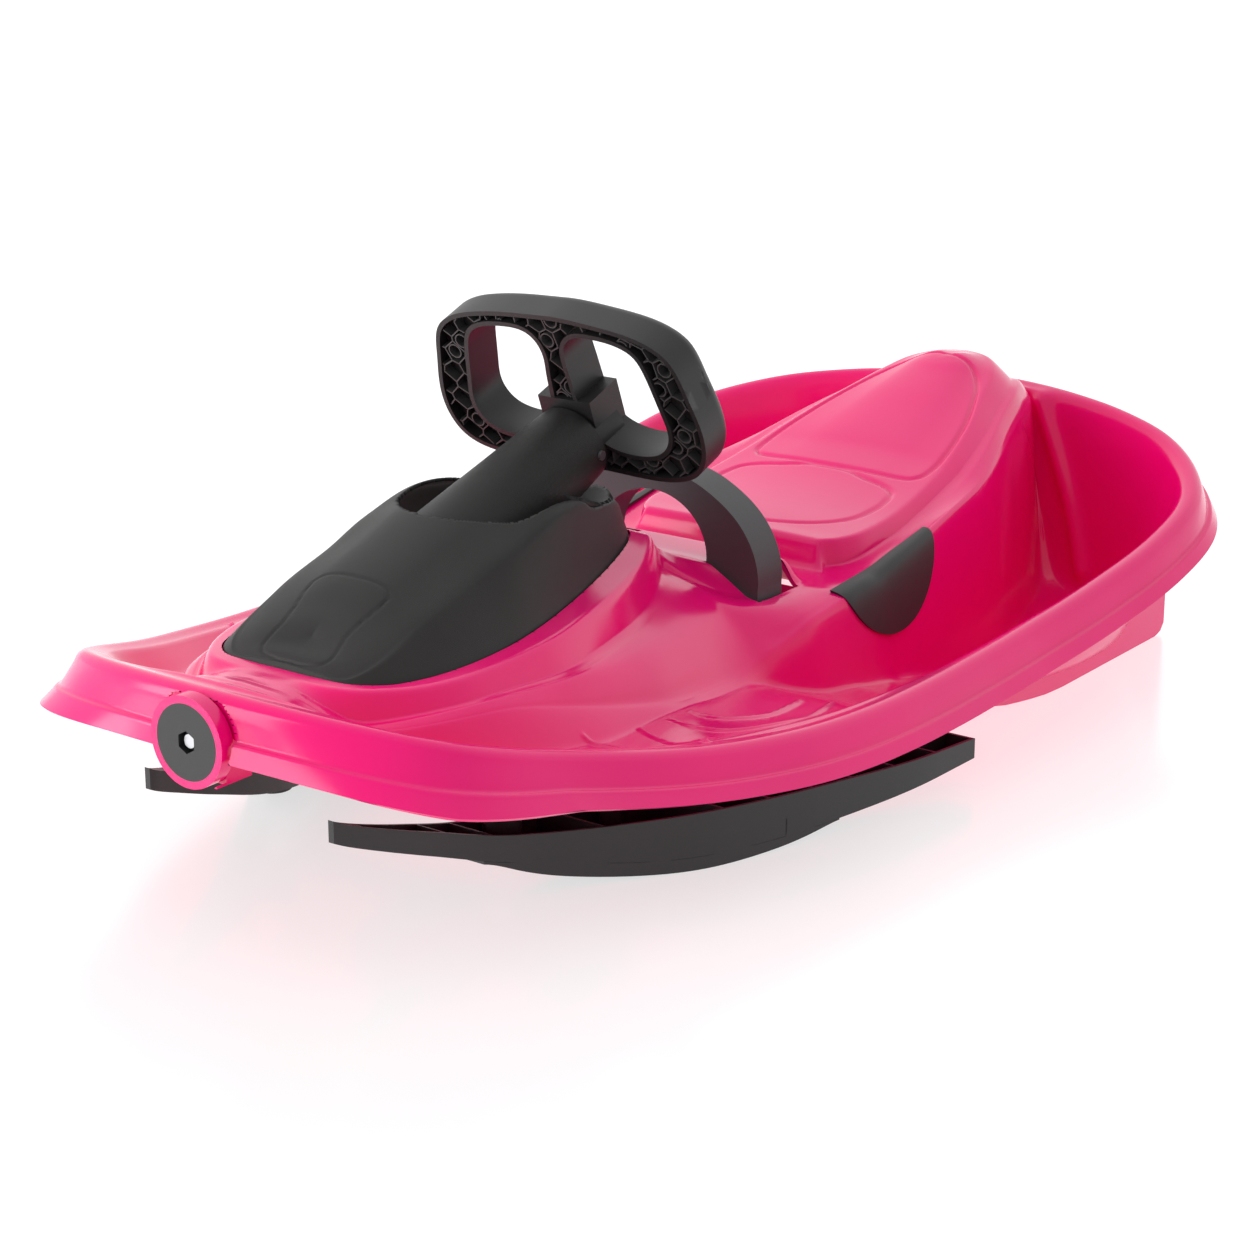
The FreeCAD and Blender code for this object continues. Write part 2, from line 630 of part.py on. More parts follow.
def joined(label, items):
    """Union of several items."""
    result = document.addObject("Part::MultiFuse", label)
    result.Shapes = items
    return result


def cut(label, base, tools):
    """Item less the union of several tools."""
    tool = tools[0]
    if len(tools) > 1:
        tool = joined(f"{label}_tools", tools)
    result = document.addObject("Part::Cut", label)
    result.Base = base
    result.Tool = tool
    return result


def group(label, items):
    """Several separate solids under one name."""
    result = document.addObject("Part::Compound", label)
    result.Links = items
    return result


def plane_of(body, role):
    """One of a body's own origin planes."""
    return [item for item in body.Origin.OriginFeatures if item.Role == role][0]


def circle_sketch(body, name, start, radii):
    """Sketch of circles round the body's axis at this height, with bound radii."""
    sketch = body.newObject("Sketcher::SketchObject", name)
    sketch.AttachmentSupport = (plane_of(body, "XY_Plane"), [""])
    sketch.MapMode = "FlatFace"
    sketch.setExpression("AttachmentOffset.Base.z", start)
    for index, radius in enumerate(radii):
        sketch.addGeometry(Part.Circle(Vector(0, 0, 0), UP, len(radii) - index))
        sketch.addConstraint(Sketcher.Constraint("Coincident", index, 3, -1, 1))
        place = sketch.addConstraint(Sketcher.Constraint("Radius", index, len(radii) - index))
        sketch.setExpression(f"Constraints[{place}]", radius)
    return sketch


def turned(label, steps, holes=()):
    """Turned body: steps of (start, length, radii), then blind holes of (top, depth, radius)."""
    body = document.addObject("PartDesign::Body", label)
    for index, (start, length, radii) in enumerate(steps):
        pad = body.newObject("PartDesign::Pad", f"{label}_pad{index}")
        pad.Profile = circle_sketch(body, f"{label}_round{index}", start, radii)
        pad.setExpression("Length", length)
        document.recompute()
    for index, (top, depth, radius) in enumerate(holes):
        pocket = body.newObject("PartDesign::Pocket", f"{label}_hole{index}")
        pocket.Profile = circle_sketch(body, f"{label}_mouth{index}", top, [radius])
        pocket.setExpression("Length", depth)
        document.recompute()
    return body


def put(item, base, turn=Rotation()):
    """Place a piece."""
    item.Placement = Placement(Vector(*base), turn)
    return item


def solid_box(low, high):
    """Plain box between two corners."""
    low = Vector(*low)
    high = Vector(*high)
    return Part.makeBox(high.x - low.x, high.y - low.y, high.z - low.z, low)


def side_box(side, x_range, y_range, z_range):
    """Plain box on the left or right side."""
    low, high = sorted((side * y_range[0], side * y_range[1]))
    return solid_box((x_range[0], low, z_range[0]), (x_range[1], high, z_range[1]))


def upright(radius, x, y, bottom, top):
    """Plain upright cylinder."""
    return Part.makeCylinder(radius, top - bottom, Vector(x, y, bottom))


def mirrored(shape):
    """The same shape on the other side of the centre plane."""
    return shape.mirror(Vector(0, 0, 0), Vector(0, 1, 0))


def height_range(shape, x, y):
    """Lowest and highest point of a shape over one place."""
    line = Part.makeLine(Vector(x, y, -FAR), Vector(x, y, FAR)).common(shape)
    return line.BoundBox.ZMin, line.BoundBox.ZMax


def spline_wire(points, closed=False):
    """Smooth curve through the points."""
    curve = Part.BSplineCurve()
    curve.interpolate(Points=points, PeriodicFlag=closed)
    return curve.toShape()


# Column frame: local Z points along the shaft to the rider, local Y up in the wheel's plane

TILT = math.radians(size("column_tilt"))
COLUMN_TURN = Rotation(Vector(0, -1, 0), Vector(math.sin(TILT), 0, math.cos(TILT)),
                       Vector(-math.cos(TILT), 0, math.sin(TILT)), "ZXY")


def column_point(place, lift=0.0):
    """Point on the column axis, this far ahead of the hub, or lifted off it in the wheel's plane."""
    return Vector(size("hub_x") + place * math.cos(TILT) + lift * math.sin(TILT), 0,
                  size("hub_z") - place * math.sin(TILT) + lift * math.cos(TILT))


def column_round(radius, start, end, lift=0.0):
    """Plain cylinder along the column between two places."""
    forward = Vector(math.cos(TILT), 0, -math.sin(TILT))
    return Part.makeCylinder(radius, end - start, column_point(start, lift), forward)


def bowl_cone(wider, end):
    """Cone of the cowl's channel from behind the hub to this place, or a wider one round it."""
    narrowing = (size("bowl_radius") - size("bowl_front_radius")) / size("bowl_front")
    start = -0.1 * FAR
    forward = Vector(math.cos(TILT), 0, -math.sin(TILT))
    return Part.makeCone(size("bowl_radius") - narrowing * start + wider,
                         size("bowl_radius") - narrowing * end + wider,
                         end - start, column_point(start), forward)


def column_place_at(x):
    """Place along the column where its axis passes this x."""
    return (x - size("hub_x")) / math.cos(TILT)


# Cowl

COWL_STATIONS = 44
COWL_CREST_ROUND = 5


def cowl_poles():
    """Half grid of the cowl's upper side, nose to tail and spine to skirt."""
    places = [0.0]
    for before, after in zip(COWL_FRAMES, COWL_FRAMES[1:]):
        places.append(places[-1] + math.hypot(after[0] - before[0], after[1] - before[1]))
    slopes_x = smooth_slopes(places, [f[0] for f in COWL_FRAMES], 0.0, 0.0)
    slopes_y = smooth_slopes(places, [f[1] for f in COWL_FRAMES], 1.0, -1.0)
    wanted = [places[-1] * i / (COWL_STATIONS - 1) for i in range(COWL_STATIONS)]
    columns = [spread(places, [f[c] for f in COWL_FRAMES], wanted) for c in range(2, 7)]
    grid = []
    for i, place in enumerate(wanted):
        x = curve_value(places, [f[0] for f in COWL_FRAMES], slopes_x, place)
        y = curve_value(places, [f[1] for f in COWL_FRAMES], slopes_y, place)
        if i in (0, COWL_STATIONS - 1):
            y = 0.0
        spine_x, edge_z, spine_z, share, crest_z = [column[i] for column in columns]
        reach = math.hypot(x - spine_x, y)
        ahead = (x - spine_x) / reach
        aside = y / reach
        crest = share * reach
        rise = spine_z - crest_z
        fall = crest_z - edge_z
        side = reach - crest
        skirt = size("cowl_skirt")
        section = (
            (0.0, spine_z),
            (0.35 * crest, spine_z),
            (0.72 * crest, crest_z + 0.42 * rise),
            (crest - COWL_CREST_ROUND, crest_z + 0.08 * rise),
            (crest + 0.08 * side, crest_z - 0.06 * fall),
            (crest + 0.5 * side, edge_z + 0.52 * fall),
            (reach - 0.06 * side, edge_z + 0.1 * fall),
            (reach, edge_z - 1),
            (reach, edge_z - 0.3 * skirt),
            (reach, edge_z - 0.6 * skirt),
            (reach, edge_z - skirt),
        )
        grid.append([Vector(spine_x + ahead * d, aside * d, z) for d, z in section])
    return grid


def outline_prism(grid):
    """Upright prism over the outer edge of a half grid and its mirror image."""
    edges = []
    for half in (grid, other_side(grid)):
        curve = Part.BSplineCurve()
        poles = [Vector(row[-1].x, row[-1].y, 0) for row in half]
        knots, mults = clamped_knots(len(poles), 3)
        curve.buildFromPolesMultsKnots(poles, mults, knots, False, 3)
        edges.append(curve.toShape())
    face = Part.Face(Part.Wire(Part.__sortEdges__(edges)))
    return face.extrude(Vector(0, 0, FAR))


COWL_GRID = cowl_poles()
WEBS = (size("rear_web_x"), size("front_web_x"))


def cowl_boss(x, y):
    """Screw boss that stands on a bearing web."""
    bottom = size("web_top") + size("face_gap")
    return Part.makeCylinder(size("cowl_boss_radius"), FAR, Vector(x, y, bottom))


def cowl_shape():
    """Cowl with the channel round the neck and four screw bosses."""
    wall = size("cowl_wall")
    front = size("bowl_front")
    inside = space_under(COWL_GRID, 0.5 * wall)
    channel = bowl_cone(0.0, front)
    lining = bowl_cone(wall, front + wall).common(inside)
    bosses = [cowl_boss(x, side * size("cowl_boss_y")) for x in WEBS for side in SIDES]
    bosses = [boss.common(inside) for boss in bosses]
    shape = shell_solid(COWL_GRID, wall).fuse([lining] + bosses).cut(channel)
    shape = shape.cut(column_round(size("bush_radius") + OVER, front - OVER, front + wall + OVER))
    screw = size("cowl_screw_radius") + size("seat_gap")
    holes = [Part.makeCylinder(screw, size("cowl_screw_length") - size("web_top") + size("web_bottom"),
                               Vector(x, side * size("cowl_boss_y"), size("web_top")))
             for x in WEBS for side in SIDES]
    return shape.cut(holes)


cowl = add_shape("cowl", cowl_shape())

cowl_screws = []
for web in WEBS:
    for side in SIDES:
        screw = turned(f"cowl_screw_{len(cowl_screws)}", [
            ("0", "sizes.cowl_screw_length", ["sizes.cowl_screw_radius"]),
            ("-sizes.cowl_screw_cap", "sizes.cowl_screw_cap", ["sizes.cowl_screw_head"]),
        ])
        base = (web, side * size("cowl_boss_y"), size("web_bottom") - size("face_gap"))
        cowl_screws.append(put(screw, base))
group("cowl_screws", cowl_screws)


# Hull

HULL_GRID = hull_poles()


def pivot_face():
    """Lower face of the hull's ski bosses, above the ski and its washer."""
    return size("pivot_boss_top") + size("pivot_washer") + 2 * size("face_gap")


def hull_shape():
    """Hull with its opening, webs, bosses, rails, lugs, slots and nose block."""
    inside = space_under(HULL_GRID, 0.5 * size("hull_wall"))
    shell = shell_solid(HULL_GRID, size("hull_wall"))
    opening = outline_prism(offset_poles(COWL_GRID, size("cowl_gap")))
    shell = shell.cut(opening)
    cowl_room = opening.translated(Vector(0, 0, size("web_top")))
    half_web = 0.5 * size("web_thickness")
    slot_inside = size("hoop_inside") - size("brake_slot_gap")
    slot_outside = size("hoop_outside") + size("brake_slot_gap")
    lug = size("lug_thickness")
    lug_x = (size("brake_x") - size("lug_half_length"), size("brake_x") + size("lug_half_length"))
    lug_z = (size("lug_bottom"), FAR)
    added = []
    towers = []
    for x in WEBS:
        added.append(solid_box((x - half_web, -size("web_reach"), size("web_bottom")),
                               (x + half_web, size("web_reach"), size("web_top"))))
        axis_z = column_point(column_place_at(x)).z
        half = size("tower_half_width")
        towers.append(solid_box((x - half_web, -half, size("web_top") - OVER),
                                (x + half_web, half, axis_z + size("tower_rise"))))
    for side in SIDES:
        added.append(side_box(side, (size("rail_rear"), size("rail_front")),
                              (size("rail_inside"), size("rail_outside")), (0, FAR)))
        added.append(Part.makeCylinder(size("hull_boss_radius"), FAR,
                                       Vector(size("pivot_x"), side * size("pivot_y"), pivot_face())))
        added.append(side_box(side, lug_x, (slot_inside - size("lug_gap") - lug,
                                            slot_inside - size("lug_gap")), lug_z))
        added.append(side_box(side, lug_x, (slot_outside + size("lug_gap"),
                                            slot_outside + size("lug_gap") + lug), lug_z))
    added.append(solid_box((size("tow_block_rear"), -size("tow_block_half"), size("tow_block_bottom")),
                           (FAR, size("tow_block_half"), FAR)))
    added = [item.common(inside).cut(cowl_room) for item in added]
    body = shell.fuse(added + towers)
    holes = []
    for x in WEBS:
        middle = column_place_at(x)
        holes.append(column_round(size("bush_radius") + size("seat_gap"),
                                  middle - size("bush_length"), middle + size("bush_length")))
        for side in SIDES:
            holes.append(upright(size("cowl_screw_radius") + size("face_gap"), x, side * size("cowl_boss_y"),
                                 size("web_bottom") - OVER, size("web_top") + OVER))
    for side in SIDES:
        holes.append(side_box(side, (size("brake_slot_rear"), size("brake_slot_front")),
                              (slot_inside, slot_outside), (size("lug_bottom"), FAR)))
        holes.append(Part.makeCylinder(size("pivot_thread_radius") + size("seat_gap"),
                                       size("pivot_thread_length") + OVER,
                                       Vector(size("pivot_x"), side * size("pivot_y"), pivot_face() - OVER)))
    pin = size("brake_pin_radius") + size("seat_gap")
    pin_end = slot_outside + size("lug_gap") + lug + OVER
    holes.append(Part.makeCylinder(pin, 2 * pin_end, Vector(size("brake_x"), -pin_end, size("brake_z")),
                                   Vector(0, 1, 0)))
    holes.append(Part.makeCylinder(size("tow_notch_radius"), FAR,
                                   Vector(size("tow_block_face"), 0, size("tow_z")), Vector(1, 0, 0)))
    holes.append(Part.makeCylinder(size("tow_bolt_radius") + size("seat_gap"), FAR,
                                   Vector(size("tow_block_rear") - OVER, 0, size("tow_z")), Vector(1, 0, 0)))
    return body.cut(holes)


hull = add_shape("hull", hull_shape())


# Steering column

def bush(label, web_x):
    """Plain bearing bush in a web."""
    item = turned(label, [("0", "sizes.bush_length", ["sizes.bush_radius",
                                                      "sizes.shaft_radius + sizes.running_gap"])])
    return put(item, column_point(column_place_at(web_x) + 0.5 * size("bush_length")), COLUMN_TURN)


bush("rear_column_bush", size("rear_web_x"))
bush("front_column_bush", size("front_web_x"))

shaft = turned("steering_shaft",
               [("0", "sizes.shaft_end - sizes.shaft_start", ["sizes.shaft_radius"])],
               [("sizes.shaft_end - sizes.shaft_start", "sizes.wheel_bolt_length",
                 "sizes.wheel_bolt_radius + sizes.seat_gap")])
put(shaft, column_point(size("shaft_end")), COLUMN_TURN)

shaft_ring = turned("shaft_ring", [("0", "sizes.ring_thickness",
                                    ["sizes.shaft_radius + sizes.ring_width",
                                     "sizes.shaft_radius + sizes.seat_gap"])])
put(shaft_ring, column_point(size("ring_place") + size("ring_thickness")), COLUMN_TURN)


LOOP_POINTS = 40


def wheel_loop(points):
    """Closed smooth outline in the wheel's plane, and the face inside it."""
    edge = spline_wire([Vector(x, y, 0) for x, y in points], True)
    return edge, Part.Face(Part.Wire([edge]))


def parallel_face(edge, distance):
    """Face inside a loop that runs at this distance outside another, clockwise loop."""
    points = []
    for i in range(LOOP_POINTS):
        place = edge.FirstParameter + (edge.LastParameter - edge.FirstParameter) * i / LOOP_POINTS
        tangent = edge.tangentAt(place)
        points.append(edge.valueAt(place) + Vector(-tangent.y, tangent.x, 0) * distance)
    return Part.Face(Part.Wire([spline_wire(points, True)]))


def wheel_shape():
    """Yoke wheel in the column frame: rim, two openings, recessed front and hub."""
    front = -size("wheel_front")
    left_half = [(-x, y) for x, y in reversed(WHEEL_OUTLINE[1:-1])]
    outline, outline_face = wheel_loop(list(WHEEL_OUTLINE) + left_half)
    openings = [wheel_loop(WHEEL_OPENING),
                wheel_loop([(-x, y) for x, y in reversed(WHEEL_OPENING)])]
    depth = Vector(0, 0, size("wheel_depth"))
    rim = outline_face.extrude(depth)
    back = [edge for edge in rim.Edges if edge.BoundBox.ZMin > size("wheel_depth") - OVER]
    rim = rim.makeFillet(size("wheel_back_round"), back)
    recess_depth = Vector(0, 0, size("wheel_recess"))
    recess = parallel_face(outline, -size("wheel_wall")).extrude(recess_depth)
    for opening, opening_face in openings:
        rim = rim.cut(opening_face.extrude(depth))
        recess = recess.cut(parallel_face(opening, size("wheel_wall")).extrude(recess_depth))
    rim = rim.cut(recess)
    rim.translate(Vector(0, 0, front))
    hub_end = size("wheel_depth") + front
    hub = solid_box((-size("hub_half_width"), -size("hub_below"), front - OVER),
                    (size("hub_half_width"), size("hub_above"), hub_end))
    boss = Part.makeCylinder(size("hub_boss_radius"), size("hub_boss_end"), Vector(0, 0, -size("hub_boss_end")))
    boss = boss.common(solid_box((-FAR, -size("hub_boss_radius"), -FAR), (FAR, FAR, FAR)))
    bore = size("shaft_radius") + size("seat_gap")
    shape = rim.fuse([hub, boss])
    shape = shape.cut(Part.makeCylinder(bore, size("hub_boss_end") + OVER,
                                        Vector(0, 0, -size("hub_boss_end") - OVER)))
    shape = shape.cut(Part.makeCylinder(size("wheel_bolt_radius") + size("seat_gap"), FAR, Vector(0, 0, -OVER)))
    shape = shape.cut(Part.makeCylinder(size("wheel_bolt_head_radius") + size("face_gap"), FAR,
                                        Vector(0, 0, size("hub_floor"))))
    for side in SIDES:
        start = size("hub_boss_radius") + size("neck_wall") + OVER - size("neck_screw_length")
        place = Vector(side * start, 0, -size("neck_screw_place"))
        shape = shape.cut(Part.makeCylinder(size("neck_screw_radius") + size("seat_gap"),
                                            size("neck_screw_length"), place, Vector(side, 0, 0)))
    return shape


wheel = add_shape("steering_wheel", wheel_shape())
put(wheel, column_point(0), COLUMN_TURN)

wheel_bolt = turned("wheel_bolt", [
    ("0", "sizes.wheel_bolt_head", ["sizes.wheel_bolt_head_radius"]),
    ("-sizes.wheel_bolt_length", "sizes.wheel_bolt_length", ["sizes.wheel_bolt_radius"]),
])
put(wheel_bolt, column_point(-size("hub_floor") - 0.5 * size("face_gap")), COLUMN_TURN)


def neck_radius(place):
    """Outside radius of the neck at a place along the column."""
    share = (place - size("neck_start")) / (size("neck_end") - size("neck_start"))
    return size("neck_small_radius") + share * (size("neck_large_radius") - size("neck_small_radius"))


def cone(label, inset):
    """Bound cone of the neck, inset by the wall for its inside."""
    item = document.addObject("Part::Cone", label)
    bind(item, Radius1=f"sizes.neck_large_radius - {inset}", Radius2=f"sizes.neck_small_radius - {inset}",
         Height="sizes.neck_end - sizes.neck_start")
    return item


screw_height = size("neck_end") - size("neck_screw_place")
neck_holes = [cylinder(f"neck_hole_{side}", "sizes.neck_screw_radius + sizes.face_gap",
                       "sizes.neck_large_radius", (0, 0, screw_height), Rotation(Vector(0, side, 0), 90))
              for side in SIDES]
neck = cut("column_neck", cone("neck_outside", "0"), [cone("neck_inside", "sizes.neck_wall")] + neck_holes)
put(neck, column_point(size("neck_end")), COLUMN_TURN)

neck_screws = []
for side in SIDES:
    screw = turned(f"neck_screw_{len(neck_screws)}", [
        ("-sizes.neck_screw_length", "sizes.neck_screw_length", ["sizes.neck_screw_radius"]),
        ("0", "sizes.neck_screw_radius", ["sizes.neck_screw_head"]),
    ])
    seat = neck_radius(size("neck_screw_place") + size("neck_screw_head")) + size("face_gap")
    local = Placement(Vector(side * seat, 0, -size("neck_screw_place")), Rotation(Vector(0, side, 0), 90))
    screw.Placement = Placement(column_point(0), COLUMN_TURN).multiply(local)
    neck_screws.append(screw)
group("neck_screws", neck_screws)

crank_hub = cylinder("crank_hub", "sizes.crank_hub_radius", "sizes.crank_thickness", (0, 0, 0))
crank_eye = cylinder("crank_eye", "sizes.crank_eye_radius", "sizes.crank_thickness",
                     (0, -size("crank_throw"), 0))
crank_arm = box("crank_arm", "2 * sizes.crank_eye_radius", "sizes.crank_throw", "sizes.crank_thickness",
                (-size("crank_eye_radius"), -size("crank_throw"), 0))
crank_bore = cylinder("crank_bore", "sizes.shaft_radius + sizes.seat_gap", "sizes.crank_thickness", (0, 0, 0))
crank_pin_hole = cylinder("crank_pin_hole", "sizes.crank_pin_radius + sizes.seat_gap", "sizes.crank_thickness",
                          (0, -size("crank_throw"), 0))
crank_screw_hole = cylinder("crank_screw_hole", "sizes.crank_screw_radius + sizes.seat_gap",
                            "sizes.crank_hub_radius", (0, 0, 0.5 * size("crank_thickness")), ALONG_Y)
crank = cut("steering_crank", joined("crank_blank", [crank_hub, crank_eye, crank_arm]),
            [crank_bore, crank_pin_hole, crank_screw_hole])
crank_front = size("crank_place") + 0.5 * size("crank_thickness")
put(crank, column_point(crank_front), COLUMN_TURN)

crank_pin = turned("crank_pin", [("0", "sizes.crank_pin_length", ["sizes.crank_pin_radius"])])
pin_front = crank_front - size("crank_thickness") + size("crank_pin_length")
put(crank_pin, column_point(pin_front, -size("crank_throw")), COLUMN_TURN)

crank_screw = turned("crank_screw", [("0", "sizes.crank_hub_radius - sizes.shaft_radius",
                                      ["sizes.crank_screw_radius"])])
screw_seat = size("shaft_radius") + 2 * size("seat_gap")
crank_screw.Placement = Placement(column_point(size("crank_place"), screw_seat), COLUMN_TURN.multiply(ALONG_Y))


# Tie bar between the crank and both skis

tie_bottom = size("tie_bottom")
stem_length = "sizes.tie_fork_x + sizes.tie_fork_thickness - sizes.tie_rear"
cross_bar = box("tie_cross", "sizes.tie_depth", "2 * sizes.tie_half_length", "sizes.tie_thickness",
                (size("tie_rear"), -size("tie_half_length"), tie_bottom))
stem = box("tie_stem", stem_length, "2 * sizes.tie_stem_half", "sizes.tie_thickness",
           (size("tie_rear"), -size("tie_stem_half"), tie_bottom))
fork = box("tie_fork", "sizes.tie_fork_thickness", "2 * sizes.tie_fork_half",
           "sizes.tie_fork_top - sizes.tie_bottom", (size("tie_fork_x"), -size("tie_fork_half"), tie_bottom))
fork_slot = box("tie_fork_slot", "sizes.tie_fork_thickness", "sizes.tie_fork_slot",
                "sizes.tie_fork_top - sizes.tie_slot_bottom",
                (size("tie_fork_x"), -0.5 * size("tie_fork_slot"), size("tie_slot_bottom")))
link_width = size("link_radius") + size("link_gap")
link_slots = [box(f"link_slot_{side}", "2 * sizes.link_radius + sizes.link_travel",
                  "2 * (sizes.link_radius + sizes.link_gap)", "sizes.tie_thickness",
                  (size("link_x") - size("link_radius") - 0.5 * size("link_travel"),
                   side * size("link_y") - link_width, tie_bottom)) for side in SIDES]
cut("tie_bar", joined("tie_blank", [cross_bar, stem, fork]), [fork_slot] + link_slots)


# Skis with keels

SKI_OPEN = 20.0
KEEL_SCREW_SINK = 1.5


def ski_section(station, inset, lift, over):
    """Rectangular section of the left ski, inset for the hollow inside."""
    x, outer, top, bottom, width = station
    inner = outer - width
    corners = [(outer - inset, bottom + lift), (outer - inset, top + over),
               (inner + inset, top + over), (inner + inset, bottom + lift)]
    return Part.makePolygon([Vector(x, y, z) for y, z in corners + corners[:1]])


def along(rows, column, x):
    """Value of one column of a table at a place along the ski; places fall from front to rear."""
    places = [-row[0] for row in rows]
    values = [row[column] for row in rows]
    first = (values[1] - values[0]) / (places[1] - places[0])
    last = (values[-1] - values[-2]) / (places[-1] - places[-2])
    return curve_value(places, values, smooth_slopes(places, values, first, last), -x)


def even_rows(rows, count):
    """The same table at even places, for an even loft."""
    front = rows[0][0]
    rear = rows[-1][0]
    places = [front + (rear - front) * i / (count - 1) for i in range(count)]
    return [tuple([x] + [along(rows, c, x) for c in range(1, len(rows[0]))]) for x in places]


def ski_place(x):
    """Outer edge of the ski at a place along it."""
    return along(SKI_STATIONS, 1, x)


def ski_shapes():
    """Left ski, its keel and the places of the keel screws."""
    wall = size("ski_wall")
    stations = even_rows(SKI_STATIONS, SKI_SECTIONS)
    outside = Part.makeLoft([ski_section(s, 0, 0, 0) for s in stations], True)
    hollow = Part.makeLoft([ski_section(s, wall, wall, SKI_OPEN) for s in stations if s[4] > 3 * wall], True)
    hollow = hollow.cut(solid_box((-FAR, -FAR, -FAR), (SKI_STATIONS[-1][0] + wall, FAR, FAR)))
    half_rib = 0.5 * size("ski_rib")
    ribs = [solid_box((x - half_rib, -FAR, -FAR), (x + half_rib, FAR, FAR)).common(outside) for x in SKI_RIBS]
    pivot = (size("pivot_x"), size("pivot_y"))
    link = (size("link_x"), size("link_y"))
    link_floor = height_range(outside, *link)[0]
    bosses = [upright(size("pivot_boss_radius"), *pivot, size("pivot_boss_bottom"), size("pivot_boss_top")),
              upright(size("link_boss_radius"), *link, link_floor + OVER, size("link_boss_top"))]
    ski = outside.cut(hollow).fuse(ribs + bosses)
    ski = ski.cut([
        upright(size("pivot_radius") + size("running_gap"), *pivot, 0, FAR),
        upright(size("pivot_head_radius") + size("face_gap"), *pivot, 0, size("pivot_seat")),
        upright(size("link_radius") + size("seat_gap"), *link, size("link_bottom"), FAR),
    ])
    sections = []
    for x, low in even_rows(KEEL_LINE, KEEL_SECTIONS):
        edge = ski_place(x)
        high = low + size("keel_width")
        inner = edge - size("keel_width")
        corners = [(inner, low), (edge, low), (edge, high), (inner, high)]
        sections.append(Part.makePolygon([Vector(x, y, z) for y, z in corners + corners[:1]]))
    keel = Part.makeLoft(sections, True)
    above = outside.copy()
    above.translate(Vector(0, 0, -size("keel_gap")))
    higher = outside.copy()
    higher.translate(Vector(0, 0, size("keel_width") - size("keel_gap")))
    keel = keel.cut([above, higher])
    keel = max(keel.Solids, key=lambda solid: solid.Volume)
    screws = []
    for x in KEEL_SCREWS:
        y = ski_place(x) - 0.5 * size("keel_width")
        floor = height_range(outside, x, y)[0] + wall + size("face_gap") + OVER
        screws.append((x, y, floor))
        ski = ski.cut(upright(size("keel_screw_radius") + size("face_gap"), x, y, 0, floor + OVER))
        ski = ski.cut(upright(size("keel_screw_head") + size("face_gap"), x, y, floor - KEEL_SCREW_SINK, FAR))
        keel = keel.cut(upright(size("keel_screw_radius") + size("seat_gap"), x, y,
                                floor - size("keel_screw_length") - OVER, FAR))
    return ski, keel, screws


left_ski, left_keel, screw_places = ski_shapes()
for side, name in ((1, "left"), (-1, "right")):
    add_shape(f"{name}_ski", left_ski if side > 0 else mirrored(left_ski))
    add_shape(f"{name}_keel", left_keel if side > 0 else mirrored(left_keel))
    screws = []
    for x, y, floor in screw_places:
        screw = turned(f"{name}_keel_screw_{len(screws)}", [
            ("-sizes.keel_screw_length", "sizes.keel_screw_length", ["sizes.keel_screw_radius"]),
            ("0", "sizes.keel_screw_cap", ["sizes.keel_screw_head"]),
        ])
        screws.append(put(screw, (x, side * y, floor)))
    group(f"{name}_keel_screws", screws)
    link_pin = turned(f"{name}_link_pin", [("0", "sizes.link_length", ["sizes.link_radius"])])
    put(link_pin, (size("link_x"), side * size("link_y"), size("link_bottom") + size("seat_gap")))
    clip = turned(f"{name}_link_clip", [("0", "sizes.ring_thickness",
                                        ["sizes.link_radius + sizes.ring_width",
                                         "sizes.link_radius + sizes.seat_gap"])])
    clip_z = tie_bottom + size("tie_thickness") + 2 * size("face_gap")
    put(clip, (size("link_x"), side * size("link_y"), clip_z))

pivot_bolts = []
pivot_washers = []
for side in SIDES:
    bolt = turned(f"pivot_bolt_{len(pivot_bolts)}", [
        ("-sizes.pivot_head", "sizes.pivot_head", ["sizes.pivot_head_radius"]),
        ("0", "sizes.pivot_boss_top - sizes.pivot_seat + sizes.pivot_washer + 3 * sizes.face_gap",
         ["sizes.pivot_radius"]),
        ("sizes.pivot_boss_top - sizes.pivot_seat + sizes.pivot_washer + 3 * sizes.face_gap",
         "sizes.pivot_thread_length - sizes.screw_end", ["sizes.pivot_thread_radius"]),
    ])
    seat_z = size("pivot_seat") - size("face_gap")
    pivot_bolts.append(put(bolt, (size("pivot_x"), side * size("pivot_y"), seat_z)))
    washer = turned(f"pivot_washer_{len(pivot_washers)}", [
        ("0", "sizes.pivot_washer", ["sizes.pivot_boss_radius", "sizes.pivot_radius + sizes.running_gap"])])
    pivot_washers.append(put(washer, (size("pivot_x"), side * size("pivot_y"),
                                      size("pivot_boss_top") + size("face_gap"))))
group("ski_pivot_bolts", pivot_bolts)
group("ski_pivot_washers", pivot_washers)


# Brake

ARCH_STEPS = 16


